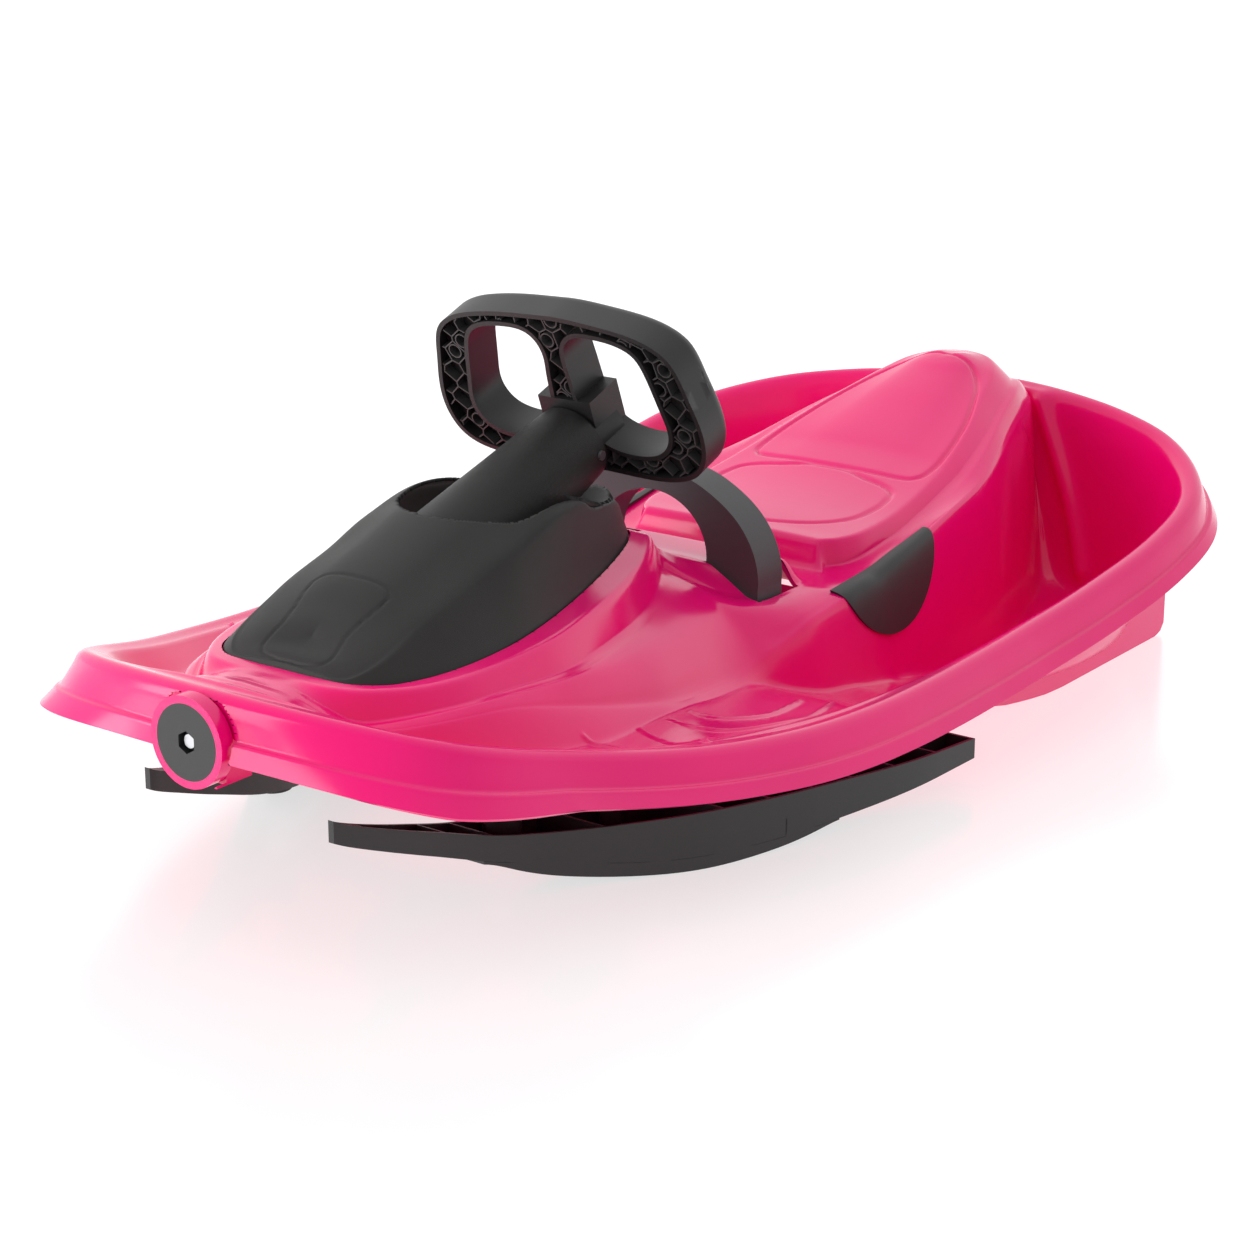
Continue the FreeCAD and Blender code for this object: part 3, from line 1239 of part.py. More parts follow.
def hoop_shape():
    """Brake hoop: two legs under one arch, with a bore for the pivot pins."""
    foot = size("hoop_foot")
    outside = size("hoop_outside")
    inside = size("hoop_inside")
    spring = size("hoop_spring_z")
    outer = [Vector(0, y, z) for y, z in HOOP_OUTLINE]
    outer = outer + [Vector(0, -p.y, p.z) for p in reversed(outer[:-1])]
    inner = []
    for i in range(ARCH_STEPS + 1):
        angle = math.pi * i / ARCH_STEPS
        inner.append(Vector(0, inside * math.cos(angle),
                            spring + (size("hoop_inner_top") - spring) * math.sin(angle)))
    wire = Part.Wire([
        spline_wire(outer),
        Part.makeLine(outer[-1], Vector(0, -outside, foot)),
        Part.makeLine(Vector(0, -outside, foot), Vector(0, -inside, foot)),
        Part.makeLine(Vector(0, -inside, foot), inner[-1]),
        spline_wire(list(reversed(inner))),
        Part.makeLine(inner[0], Vector(0, inside, foot)),
        Part.makeLine(Vector(0, inside, foot), Vector(0, outside, foot)),
        Part.makeLine(Vector(0, outside, foot), outer[0]),
    ])
    shape = Part.Face(wire).extrude(Vector(size("hoop_depth"), 0, 0))
    shape.translate(Vector(size("hoop_front") - size("hoop_depth"), 0, 0))
    bore = Part.makeCylinder(size("brake_pin_radius") + size("running_gap"), FAR,
                             Vector(size("brake_x"), -FAR / 2, size("brake_z")), Vector(0, 1, 0))
    holes = [upright(size("claw_screw_radius") + size("seat_gap"), x, y, 0, claw_screw_top())
             for x, y in CLAW_SCREW_PLACES]
    return shape.cut([bore] + holes)


def claw_screw_top():
    """Upper end of the claw screws' holes in the hoop's legs."""
    return size("hoop_foot") + size("claw_screw_length") - size("claw_thickness")


claw_middle = size("claw_inside") + 0.5 * size("claw_width")
CLAW_SCREW_PLACES = [(size("brake_x") + ahead * size("claw_screw_spacing"), side * claw_middle)
                     for side in SIDES for ahead in (-0.5, 0.5)]
hoop = add_shape("brake_hoop", hoop_shape())


def claw_shape(side):
    """Bent claw plate under one leg of the hoop."""
    top = size("hoop_foot") - size("rest_gap")
    low = top - size("claw_thickness")
    drop = size("claw_drop")
    profile = [(size("claw_front"), low), (size("claw_front"), top), (size("claw_bend"), top),
               (size("claw_tip"), top - drop), (size("claw_tip"), low - drop), (size("claw_bend"), low)]
    y = side * claw_middle - 0.5 * size("claw_width")
    outline = Part.makePolygon([Vector(x, y, z) for x, z in profile + profile[:1]])
    plate = Part.Face(outline).extrude(Vector(0, size("claw_width"), 0))
    return plate.cut([upright(size("claw_screw_radius") + size("face_gap"), x, y, 0, top + OVER)
                      for x, y in CLAW_SCREW_PLACES])


claws = [add_shape(f"brake_claw_{index}", claw_shape(side)) for index, side in enumerate(SIDES)]
group("brake_claws", claws)

claw_screws = []
for x, y in CLAW_SCREW_PLACES:
    screw = turned(f"claw_screw_{len(claw_screws)}", [
        ("0", "sizes.claw_screw_length - sizes.screw_end", ["sizes.claw_screw_radius"]),
        ("-sizes.claw_screw_cap", "sizes.claw_screw_cap", ["sizes.claw_screw_head"]),
    ])
    claw_screws.append(put(screw, (x, y, size("hoop_foot") - size("claw_thickness") - size("face_gap"))))
group("claw_screws", claw_screws)

pin_inside = (size("hoop_inside") - size("brake_slot_gap") - size("lug_gap") - size("lug_thickness")
              - size("brake_pin_over"))
pins = []
for side in SIDES:
    pin = turned(f"brake_pin_{len(pins)}", [
        ("0", "sizes.hoop_outside - sizes.hoop_inside + 2 * (sizes.brake_slot_gap + sizes.lug_gap"
         " + sizes.lug_thickness + sizes.brake_pin_over)", ["sizes.brake_pin_radius"])])
    outward = Rotation(Vector(1, 0, 0), -90 * side)
    pins.append(put(pin, (size("brake_x"), side * pin_inside, size("brake_z")), outward))
group("brake_pins", pins)


# Tow disc on the nose

tow_rear = size("tow_front") - size("tow_thickness")
recess_floor = size("tow_front") - size("tow_recess_depth")
tow_blank = cylinder("tow_blank", "sizes.tow_disc_radius", "sizes.tow_thickness",
                     (tow_rear, 0, size("tow_z")), ALONG_X)
tow_bore = cylinder("tow_bore", "sizes.tow_bolt_radius + sizes.running_gap", "sizes.tow_thickness",
                    (tow_rear, 0, size("tow_z")), ALONG_X)
tow_recess = hexagon("tow_recess", "sizes.tow_recess_across", "sizes.tow_recess_depth",
                     (recess_floor, 0, size("tow_z")), ALONG_X)
cut("tow_disc", tow_blank, [tow_bore, tow_recess])

tow_ring = turned("tow_ring", [("0", "sizes.tow_thickness", ["sizes.tow_ring_radius",
                                                            "sizes.tow_disc_radius + sizes.seat_gap"])])
put(tow_ring, (tow_rear, 0, size("tow_z")), ALONG_X)

tow_bolt = turned("tow_bolt", [
    ("0", "sizes.tow_bolt_head", ["sizes.tow_bolt_head_radius"]),
    ("-sizes.tow_bolt_length", "sizes.tow_bolt_length", ["sizes.tow_bolt_radius"]),
])
put(tow_bolt, (recess_floor + size("face_gap"), 0, size("tow_z")), ALONG_X)

tow_washer = turned("tow_washer", [("0", "sizes.tow_washer", ["sizes.tow_washer_radius",
                                                              "sizes.tow_bolt_radius + sizes.seat_gap"])])
put(tow_washer, (size("tow_block_face") + size("rest_gap"), 0, size("tow_z")), ALONG_X)

nut_blank = hexagon("nut_blank", "sizes.tow_nut_across", "sizes.tow_nut", (0, 0, 0))
nut_bore = cylinder("nut_bore", "sizes.tow_bolt_radius + sizes.seat_gap", "sizes.tow_nut", (0, 0, 0))
tow_nut = cut("tow_nut", nut_blank, [nut_bore])
put(tow_nut, (size("tow_block_rear") - size("tow_nut") - size("rest_gap"), 0, size("tow_z")), ALONG_X)


# Grips on the seat's side walls

def grip_shape():
    """Left grip: a half moon of even thickness laid on the hull's surface."""
    lift = size("grip_lift")
    skin = slab_solid(offset_poles(HULL_GRID, lift + size("grip_thickness")), offset_poles(HULL_GRID, lift))
    moon = Part.makeCylinder(size("grip_radius"), FAR,
                             Vector(size("grip_x"), grip_edge() - size("grip_fold"), size("grip_z")),
                             Vector(0, 1, 0))
    moon = moon.common(solid_box((-FAR, 0, 0), (FAR, grip_edge() + 3 * size("grip_fold"), FAR)))
    pieces = skin.common(moon).Solids
    return max(pieces, key=lambda solid: solid.Volume)


def grip_edge():
    """Seat edge beside the grips, from the centre plane."""
    return size(f"frame{GRIP_FRAME}_edge")


left_grip = grip_shape()
add_shape("left_grip", left_grip)
add_shape("right_grip", mirrored(left_grip))


# Check every piece and write the files

NODES = (
    "hull", "cowl", "cowl_screws", "rear_column_bush", "front_column_bush",
    "steering_wheel", "wheel_bolt", "column_neck", "neck_screws", "steering_shaft", "shaft_ring",
    "steering_crank", "crank_pin", "crank_screw", "tie_bar",
    "left_ski", "left_keel", "left_keel_screws", "left_link_pin", "left_link_clip",
    "right_ski", "right_keel", "right_keel_screws", "right_link_pin", "right_link_clip",
    "ski_pivot_bolts", "ski_pivot_washers",
    "brake_hoop", "brake_claws", "claw_screws", "brake_pins",
    "tow_disc", "tow_ring", "tow_bolt", "tow_washer", "tow_nut",
    "left_grip", "right_grip",
)

document.recompute()
for item in document.Objects:
    if "Invalid" in item.State or "Error" in item.State:
        raise RuntimeError(f"{item.Label} did not build: {item.State}")

os.makedirs("parts", exist_ok=True)
for node in NODES:
    shape = document.getObjectsByLabel(node)[0].Shape
    if shape.isNull() or not shape.isValid():
        raise RuntimeError(f"{node} has no valid shape")
    shape.exportStep(f"parts/{node}.step")
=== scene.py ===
import json
import math

import bpy
import numpy as np
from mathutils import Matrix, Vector
from mathutils.bvhtree import BVHTree


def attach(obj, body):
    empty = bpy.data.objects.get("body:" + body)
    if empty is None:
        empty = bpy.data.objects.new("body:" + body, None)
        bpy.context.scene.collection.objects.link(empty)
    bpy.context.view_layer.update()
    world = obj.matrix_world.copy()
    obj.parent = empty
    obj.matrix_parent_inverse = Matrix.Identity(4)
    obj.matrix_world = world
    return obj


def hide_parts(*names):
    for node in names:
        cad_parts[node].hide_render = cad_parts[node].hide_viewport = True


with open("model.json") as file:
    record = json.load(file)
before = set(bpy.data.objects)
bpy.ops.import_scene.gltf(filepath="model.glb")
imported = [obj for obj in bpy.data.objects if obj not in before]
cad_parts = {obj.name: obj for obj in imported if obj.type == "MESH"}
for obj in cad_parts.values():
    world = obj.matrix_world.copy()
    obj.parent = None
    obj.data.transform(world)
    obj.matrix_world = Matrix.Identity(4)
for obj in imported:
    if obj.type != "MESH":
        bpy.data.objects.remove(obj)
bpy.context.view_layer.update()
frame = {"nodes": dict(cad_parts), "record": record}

MM = 0.001

# Camera of the photograph, in metres and degrees, its lens in millimetres
CAMERA_PLACE = Vector((1.9532, 1.3915, 0.8457))
CAMERA_TURN = 36.27
CAMERA_TILT = 17.62
CAMERA_LENS = 83.85
CAMERA_RANGE = 50

# Grain and clouding of every surface: detail and depth in metres of the grain, scale and range of the clouds,
# range of the gloss
GRAIN_DETAIL = 3.0
GRAIN_DEPTH = 0.002
CLOUD_SCALE = 7.0
CLOUD_RANGE = (0.35, 0.65)
GLOSS_RANGE = (0.85, 1.15)


def make_camera():
    """Camera at the photograph's viewing angle."""
    turn = math.radians(CAMERA_TURN)
    tilt = math.radians(CAMERA_TILT)
    look = Vector((-math.cos(turn) * math.cos(tilt), -math.sin(turn) * math.cos(tilt), -math.sin(tilt)))
    data = bpy.data.cameras.new("camera")
    data.lens = CAMERA_LENS
    data.clip_end = CAMERA_RANGE
    camera = bpy.data.objects.new("camera", data)
    camera.location = CAMERA_PLACE
    camera.rotation_mode = "QUATERNION"
    camera.rotation_quaternion = look.to_track_quat("-Z", "Y")
    bpy.context.scene.collection.objects.link(camera)
    bpy.context.scene.camera = camera


def node_material(name, color, roughness, metallic=0.0, grain=400.0, bump=0.02, speck=0.06, shine=0.5):
    """Moulded or metal surface with a fine grain and slight colour and gloss variation."""
    material = bpy.data.materials.new(name)
    material.use_nodes = True
    nodes = material.node_tree.nodes
    links = material.node_tree.links
    shader = nodes["Principled BSDF"]
    shader.inputs["Metallic"].default_value = metallic
    shader.inputs["Specular IOR Level"].default_value = shine
    place = nodes.new("ShaderNodeTexCoord")
    fine = nodes.new("ShaderNodeTexNoise")
    fine.inputs["Scale"].default_value = grain
    fine.inputs["Detail"].default_value = GRAIN_DETAIL
    links.new(place.outputs["Object"], fine.inputs["Vector"])
    broad = nodes.new("ShaderNodeTexNoise")
    broad.inputs["Scale"].default_value = CLOUD_SCALE
    links.new(place.outputs["Object"], broad.inputs["Vector"])
    ramp = nodes.new("ShaderNodeValToRGB")
    low = [c * (1 - speck) for c in color]
    high = [min(1, c * (1 + speck)) for c in color]
    for stop, along, shade in zip(ramp.color_ramp.elements, CLOUD_RANGE, (low, high)):
        stop.position = along
        stop.color = (*shade, 1)
    links.new(broad.outputs["Fac"], ramp.inputs["Fac"])
    links.new(ramp.outputs["Color"], shader.inputs["Base Color"])
    gloss = nodes.new("ShaderNodeMapRange")
    gloss.inputs["To Min"].default_value = roughness * GLOSS_RANGE[0]
    gloss.inputs["To Max"].default_value = roughness * GLOSS_RANGE[1]
    links.new(fine.outputs["Fac"], gloss.inputs["Value"])
    links.new(gloss.outputs["Result"], shader.inputs["Roughness"])
    relief = nodes.new("ShaderNodeBump")
    relief.inputs["Strength"].default_value = bump
    relief.inputs["Distance"].default_value = GRAIN_DEPTH
    links.new(fine.outputs["Fac"], relief.inputs["Height"])
    links.new(relief.outputs["Normal"], shader.inputs["Normal"])
    return material


MATERIALS = {
    "hull": node_material("pink_plastic", (0.93, 0.0012, 0.185), 0.16, grain=250, bump=0.008, speck=0.02),
    "cowl": node_material("cowl_plastic", (0.022, 0.0208, 0.0203), 0.5, grain=1800, bump=0.2, shine=0.3),
    "wheel": node_material("wheel_plastic", (0.014, 0.0135, 0.0135), 0.42, grain=1500, bump=0.1),
    "rib": node_material("rib_plastic", (0.05, 0.049, 0.049), 0.4, grain=1500, bump=0.05),
    "grip": node_material("grip_plastic", (0.022, 0.021, 0.022), 0.45, grain=1500, bump=0.1),
    "black": node_material("black_plastic", (0.02, 0.02, 0.0205), 0.42, grain=900, bump=0.05),
    # Hoop: base lighter than the black plastic, a painted reflection of the softbox light on its front
    "hoop": node_material("hoop_painted_reflection", (0.065, 0.063, 0.068), 0.5, grain=900, bump=0.05),
    "bush": node_material("bush_plastic", (0.7, 0.69, 0.64), 0.5),
    "steel": node_material("zinc_steel", (0.52, 0.52, 0.54), 0.35, metallic=1.0, grain=900, bump=0.05),
}

# Nodes whose material is lighter than their slot's, a painted reflection of the softbox light
PAINTED_REFLECTION_MATERIAL = {"brake_hoop": "hoop"}


def dress_nodes():
    """Give every node the material of its slot, or one lightened by painted reflection of the softbox light.
    """
    for part in frame["record"]["subparts"]:
        item = frame["nodes"][part["node"]]
        item.data.materials.clear()
        item.data.materials.append(MATERIALS[PAINTED_REFLECTION_MATERIAL.get(part["node"], part["material_slot"])])


# Sizes of the hull and the cowl, in millimetres
NOSE_X = 569
TAIL_X = -574
HALF_WIDTH = 309
RIM_NOSE_Z = 182
RIM_WAIST_Z = 102
RIM_TAIL_Z = 203
WAIST_X = 98
SHEER_NOSE = 2.0
SHEER_TAIL = 2.2
FLOOR_CORNER = 12
RIM_LAND = 24
FLANGE_BAND = 29
FLANGE_LEDGE = 3
FLANGE_DEPTH = 44
FRONT_FAN_X = 300
REAR_FAN_X = -300
FRONT_FAN_SHARE = 0.56
REAR_FAN_SHARE = 0.60
COWL_GAP = 0.8

# Plan of the rim from nose to tail: share of the length, share of the half width
RIM_PLAN = (
    (0.0, 0.0), (0.0055, 0.178), (0.0157, 0.345), (0.0297, 0.486), (0.0478, 0.587),
    (0.0780, 0.658), (0.1260, 0.716), (0.2126, 0.825), (0.3071, 0.903), (0.3666, 0.932),
    (0.4121, 0.946), (0.4349, 0.950), (0.4454, 0.951), (0.4541, 0.952), (0.4664, 0.953),
    (0.4804, 0.954), (0.4979, 0.955), (0.5372, 0.957), (0.5451, 0.958), (0.5731, 0.961),
    (0.5827, 0.962), (0.5940, 0.963), (0.6206, 0.968), (0.6553, 0.977), (0.6968, 0.986),
    (0.7839, 1.0), (0.8565, 0.974), (0.9073, 0.877), (0.9484, 0.718), (0.9746, 0.518),
    (0.9886, 0.340), (0.9965, 0.178), (1.0, 0.0),
)

# Table of offsets, one row for each frame of the hull, in the order of RIM_PLAN, measured out from the
# spine: crest is the upper edge of the raised middle (cowl collar, hoop bar, seat) and crease its foot on
# the deck, edge is the top edge of the footwell's inner wall, run that wall's draft, floor the footwell's
# height, inset the floor's distance from the rim, spine the height on the centre plane,
# flare the flange's lean
FRAME_COLUMNS = ("crest", "crest_z", "crease", "crease_z", "edge", "edge_z", "run", "floor_z", "inset",
                 "spine_z", "flare")
FRAMES = (
    # nose and cowl collar
    (42, 174, 54, 175, 66, 176, 10, 178, 34, 174, 4),
    (49, 174, 63, 174, 75, 174, 10, 175, 34, 174, 6),
    (70, 174, 81, 163, 93, 161, 10, 157, 36, 175, 14),
    (88, 173, 97, 151, 108, 149, 10, 141, 42, 177, 22),
    (98, 172, 107, 152, 119, 148, 12, 131, 46, 179, 24),
    (110, 171, 119, 154, 131, 149, 14, 124, 46, 183, 22),
    (118, 172, 128, 155, 140, 148, 18, 118, 46, 187, 18),
    (117, 175, 128, 151, 149, 131, 20, 107, 46, 193, 14),
    (98, 180, 108, 149, 155, 106, 8, 101, 46, 197, 12),
    (77, 183, 87, 150, 147, 96, 8, 91, 46, 197, 11),
    (54, 187, 63, 155, 140, 92, 8, 85, 46, 194, 10),
    (37, 189, 47, 157, 138, 95, 8, 79, 47, 190, 10),
    (28, 183, 40, 157, 139, 98, 8, 75, 48, 184, 10),
    # bar with the hoop's slots
    (24, 173, 60, 147, 141, 102, 9, 71, 48, 174, 10),
    (38, 163, 88, 137, 144, 106, 10, 66, 49, 164, 10),
    (68, 156, 102, 133, 147, 112, 12, 61, 50, 157, 10),
    (90, 153, 107, 131, 150, 119, 14, 56, 51, 154, 10),
    (95, 152, 108, 131, 152, 126, 15, 50, 52, 153, 10),
    # trench in front of the seat
    (96, 131, 108, 130, 153, 128, 15, 48, 53, 131, 10),
    (96, 131, 106, 130, 153, 133, 16, 43, 55, 131, 10),
    # seat and its back
    (92, 155, 99, 131, 153, 131, 16, 41, 55, 156, 10),
    (103, 155, 109, 132, 151, 133, 16, 39, 56, 156, 10),
    (112, 156, 118, 138, 150, 139, 17, 33, 58, 158, 10),
    (111, 158, 118, 144, 149, 149, 18, 24, 60, 161, 10),
    (107, 164, 115, 153, 145, 157, 18, 18, 62, 167, 10),
    (95, 185, 108, 176, 132, 169, 20, 10, 66, 190, 10),
    (82, 203, 97, 193, 115, 180, 20, 9, 66, 208, 10),
    (70, 216, 86, 204, 102, 188, 20, 9, 66, 221, 10),
    (62, 226, 79, 212, 94, 193, 18, 12, 62, 231, 9),
    (56, 233, 74, 216, 90, 196, 16, 24, 56, 238, 8),
    (52, 236, 72, 216, 92, 198, 10, 90, 42, 241, 5),
    (48, 238, 66, 214, 80, 205, 10, 190, 32, 242, 2),
    (44, 239, 60, 213, 70, 205, 8, 203, 32, 242, 0),
)
# Distance between the stations of the hull's surface: place along the rim, distance
STATION_SPACING = ((0, 20), (560, 20), (630, 6), (838, 6), (890, 20), (2000, 20))
# Curves are smooth along the hull and crisp across it
ALONG_DEGREE = 3
ACROSS_DEGREE = 2
# Distance between the points of a surface, what each span counts beyond its own length along it, across
# the hull and across the cowl, the column of poles that sets the rows, and the steps that measure a curve
SKIN_SPACING = 2.2
ROW_EXTRA = 2.0
HULL_EXTRA = 12.0
COWL_EXTRA = 8.0
GUIDE_COLUMN = -6
CURVE_STEPS = 4000

# Frames of the cowl from nose to tail, left side: outline point, spine place, edge height,
# height on the centre plane, crest as a share of the way to the outline, crest height
COWL_FRAMES = (
    (478, 0, 446, 172, 192, 0.90, 178),
    (478, 30, 445, 172, 193, 0.92, 177),
    (476, 55, 442, 172, 196, 0.95, 175),
    (467, 71, 436, 172, 201, 0.90, 180),
    (450, 85, 424, 172, 208, 0.82, 188),
    (407, 99, 401, 172, 222, 0.72, 205),
    (350, 102, 350, 174, 242, 0.72, 222),
    (300, 97, 300, 177, 259, 0.79, 238),
    (235, 82, 235, 179, 271, 0.88, 252),
    (173, 63, 178, 181, 267, 0.84, 244),
    (120, 43, 138, 185, 256, 0.80, 231),
    (90, 27, 118, 188, 246, 0.76, 220),
    (75, 12, 108, 190, 240, 0.72, 215),
    (72, 0, 105, 190, 238, 0.72, 214),
)
# Cowl: sections along it, depth of its skirt, wall, steepest lean of its top, points of the outline of its
# opening in the hull, and the angle of a sharp edge in degrees
COWL_STATIONS = 60
COWL_SKIRT = 12
COWL_WALL = 3
COWL_LEAN = 0.7
OUTLINE_POINTS = 400
COWL_CREASE = 40
# Steering column: its hub, its tilt, its directions and the channel in the cowl round it
COLUMN_HUB = np.array((100.0, 0.0, 285.0))
COLUMN_TILT = math.radians(21)
COLUMN_FORWARD = np.array((math.cos(COLUMN_TILT), 0, -math.sin(COLUMN_TILT)))
COLUMN_DOWN = np.array((-math.sin(COLUMN_TILT), 0, -math.cos(COLUMN_TILT)))
LEFT = np.array((0, 1, 0))
CHANNEL_RADIUS = (57, 48.5)
CHANNEL_LENGTH = 245
# The mouth's extra room beyond the channel, by place along the sled
MOUTH_ROOM_X = (150, 195, 249, 270)
MOUTH_ROOM = (0, 6, 20, 80)
# The channel's lined part: range along the column, degrees to each side, points along and round
LINING_LENGTH = (-40, 110)
LINING_ANGLE = 115
LINING_ROWS = 60
LINING_COLUMNS = 81
# Plan of the opening round the neck and of the blank panel on the cowl's front, left halves
COWL_MOUTH = ((317, 0), (314, 17), (306, 32), (292, 47), (276, 60), (249, 64), (195, 58), (150, 58), (40, 58))
COWL_PANEL = ((396, 0), (396, 20), (398, 32), (405, 37), (440, 31), (462, 33), (470, 28), (473, 12), (473, 0))
PANEL_GROOVE = (-0.9, 1.2)
# Heights above and below the whole sled, where measuring lines start
ABOVE_ALL = 500
BELOW_ALL = -100


def limited_slopes(places, values):
    """Slopes for a curve that never overshoots the values it passes through."""
    steps = [(values[i + 1] - values[i]) / (places[i + 1] - places[i]) for i in range(len(values) - 1)]
    inner = []
    for before, after in zip(steps, steps[1:]):
        inner.append(0.0 if before * after <= 0 else 2 * before * after / (before + after))
    return [0.0] + inner + [0.0]


def smooth_slopes(places, values, first, last):
    """Slopes for a smooth curve with given end slopes."""
    inner = [(values[i + 1] - values[i - 1]) / (places[i + 1] - places[i - 1])
             for i in range(1, len(values) - 1)]
    return [first] + inner + [last]


def curve_value(places, values, slopes, place):
    """Value of the cubic curve through the given values at one place."""
    index = 0
    while index < len(places) - 2 and place > places[index + 1]:
        index += 1
    span = places[index + 1] - places[index]
    u = (place - places[index]) / span
    return ((1 + 2 * u) * (1 - u) ** 2 * values[index] + u * (1 - u) ** 2 * span * slopes[index]
            + u * u * (3 - 2 * u) * values[index + 1] + u * u * (u - 1) * span * slopes[index + 1])


def spread(places, values, stations):
    """Values of a limited curve at these stations."""
    slopes = limited_slopes(places, values)
    return [curve_value(places, values, slopes, station) for station in stations]


def plan_places(points):
    """Distance along a plan outline at each of its points."""
    places = [0.0]
    for before, after in zip(points, points[1:]):
        places.append(places[-1] + math.hypot(after[0] - before[0], after[1] - before[1]))
    return places


def plan_points(places, points, wanted):
    """Points of the smooth outline through the given ones, square to the centre plane at both ends."""
    x_values, y_values = zip(*points)
    slopes_x = smooth_slopes(places, x_values, 0.0, 0.0)
    slopes_y = smooth_slopes(places, y_values, 1.0, -1.0)
    return [(curve_value(places, x_values, slopes_x, place), curve_value(places, y_values, slopes_y, place))
            for place in wanted]


def rim_points():
    """Plan points of the rim from nose to tail, left half."""
    return [(NOSE_X + along * (TAIL_X - NOSE_X), HALF_WIDTH * aside) for along, aside in RIM_PLAN]


def rim_height(x):
    """Sheer line of the rim, at one place or at an array of them."""
    ahead = np.maximum(x - WAIST_X, 0) / (NOSE_X - WAIST_X)
    behind = np.maximum(WAIST_X - x, 0) / (WAIST_X - TAIL_X)
    return (RIM_WAIST_Z + (RIM_NOSE_Z - RIM_WAIST_Z) * ahead ** SHEER_NOSE
            + (RIM_TAIL_Z - RIM_WAIST_Z) * behind ** SHEER_TAIL)


def spine_place(x):
    """Point of the centre line from which the section to a rim point starts."""
    if x > FRONT_FAN_X:
        return FRONT_FAN_X + FRONT_FAN_SHARE * (x - FRONT_FAN_X)
    if x < REAR_FAN_X:
        return REAR_FAN_X + REAR_FAN_SHARE * (x - REAR_FAN_X)
    return x


def section_line(x, y, spine_x):
    """Length and direction of the section from the spine to an outline point."""
    reach = math.hypot(x - spine_x, y)
    return reach, (x - spine_x) / reach, y / reach


def hull_section(reach, rim_z, row, slope):
    """Poles of one hull section as (distance from the spine, height), by shares of the row's own sizes."""
    crest, crest_z, crease, crease_z, edge, edge_z, run, floor_z, inset, spine_z, flare = row
    step = crest_z - crease_z
    slant = crease - crest
    deck = edge - crease
    fall = crease_z - edge_z
    wall_foot = edge + run
    drop = edge_z - floor_z
    floor_end = reach - inset
    corner = min(FLOOR_CORNER, 0.3 * (floor_end - wall_foot))
    land = reach - RIM_LAND
    lift = rim_z - floor_z
    band = rim_z - FLANGE_BAND
    ledge = reach + FLANGE_LEDGE
    return (
        # raised middle
        (0.0, spine_z),
        (0.35 * crest, spine_z + slope * 0.35 * crest),
        (0.75 * crest, crest_z + 0.3 * (spine_z - crest_z)),
        (crest - 7, crest_z + 0.04 * (spine_z - crest_z)),
        (crest - 2, crest_z - 0.01 * step),
        (crest + 0.1 * slant, crest_z - 0.12 * step),
        (crest + 0.5 * slant, crest_z - 0.5 * step),
        (crest + 0.85 * slant, crest_z - 0.85 * step),
        # deck
        (crease - 0.06 * slant, crease_z + 0.05 * step),
        (crease + min(4, 0.2 * deck), crease_z - 0.02 * fall),
        (crease + min(10, 0.35 * deck), crease_z - 0.05 * fall),
        (crease + 0.5 * deck, crease_z - 0.22 * fall),
        (edge - 0.22 * deck, edge_z + 0.34 * fall),
        (edge - min(5, 0.12 * deck), edge_z + 0.07 * fall),
        # footwell
        (edge, edge_z - 0.02 * drop),
        (edge + 0.2 * run, edge_z - 0.2 * drop),
        (edge + 0.5 * run, edge_z - 0.5 * drop),
        (edge + 0.85 * run, edge_z - 0.85 * drop),
        (wall_foot + 1, floor_z + 0.03 * drop),
        (wall_foot + 0.6 * corner, floor_z),
        (0.5 * (wall_foot + floor_end), floor_z),
        (floor_end - corner, floor_z),
        (floor_end, floor_z + 0.08 * lift),
        (floor_end + 0.6 * (land - floor_end), floor_z + 0.6 * lift),
        # rim and flange
        (land - 3, rim_z - 0.12 * lift),
        (land + 4, rim_z - 2),
        (reach - 9, rim_z + 1),
        (reach - 2, rim_z - 3),
        (reach + 1, rim_z - 10),
        (reach + 1 + 0.4 * flare, band + 4),
        (reach + 1 + 0.5 * flare, band),
        (ledge + 2 + 0.5 * flare, band - 1),
        (ledge + 2.5 + 0.6 * flare, band - 5),
        (ledge + 3 + flare, rim_z - FLANGE_DEPTH),
    )


def station_places(length):
    """Places of the stations along the rim, closest together round the trench."""
    places = [place for place, _ in STATION_SPACING]
    gaps = [gap for _, gap in STATION_SPACING]
    slopes = limited_slopes(places, gaps)
    stations = [0.0]
    while stations[-1] < length:
        stations.append(stations[-1] + curve_value(places, gaps, slopes, stations[-1]))
    return [station * length / stations[-1] for station in stations]


def hull_poles():
    """Half grid of poles of the hull's upper side, nose to tail and spine to flange."""
    rim = rim_points()
    places = plan_places(rim)
    wanted = station_places(places[-1])
    plan = plan_points(places, rim, wanted)
    spine = [spine_place(x) for x, _ in plan]
    columns = [spread(places, values, wanted) for values in zip(*FRAMES)]
    heights = columns[FRAME_COLUMNS.index("spine_z")]
    last = len(plan) - 1
    grid = []
    for i, (x, y) in enumerate(plan):
        before = max(i - 1, 0)
        after = min(i + 1, last)
        rise = (heights[after] - heights[before]) / (spine[after] - spine[before])
        if i in (0, last):
            y = 0.0
            rise = 0.0
        reach, ahead, aside = section_line(x, y, spine[i])
        section = hull_section(reach, rim_height(x), [column[i] for column in columns], rise * ahead)
        grid.append([(spine[i] + ahead * d, aside * d, z) for d, z in section])
    return np.array(grid)


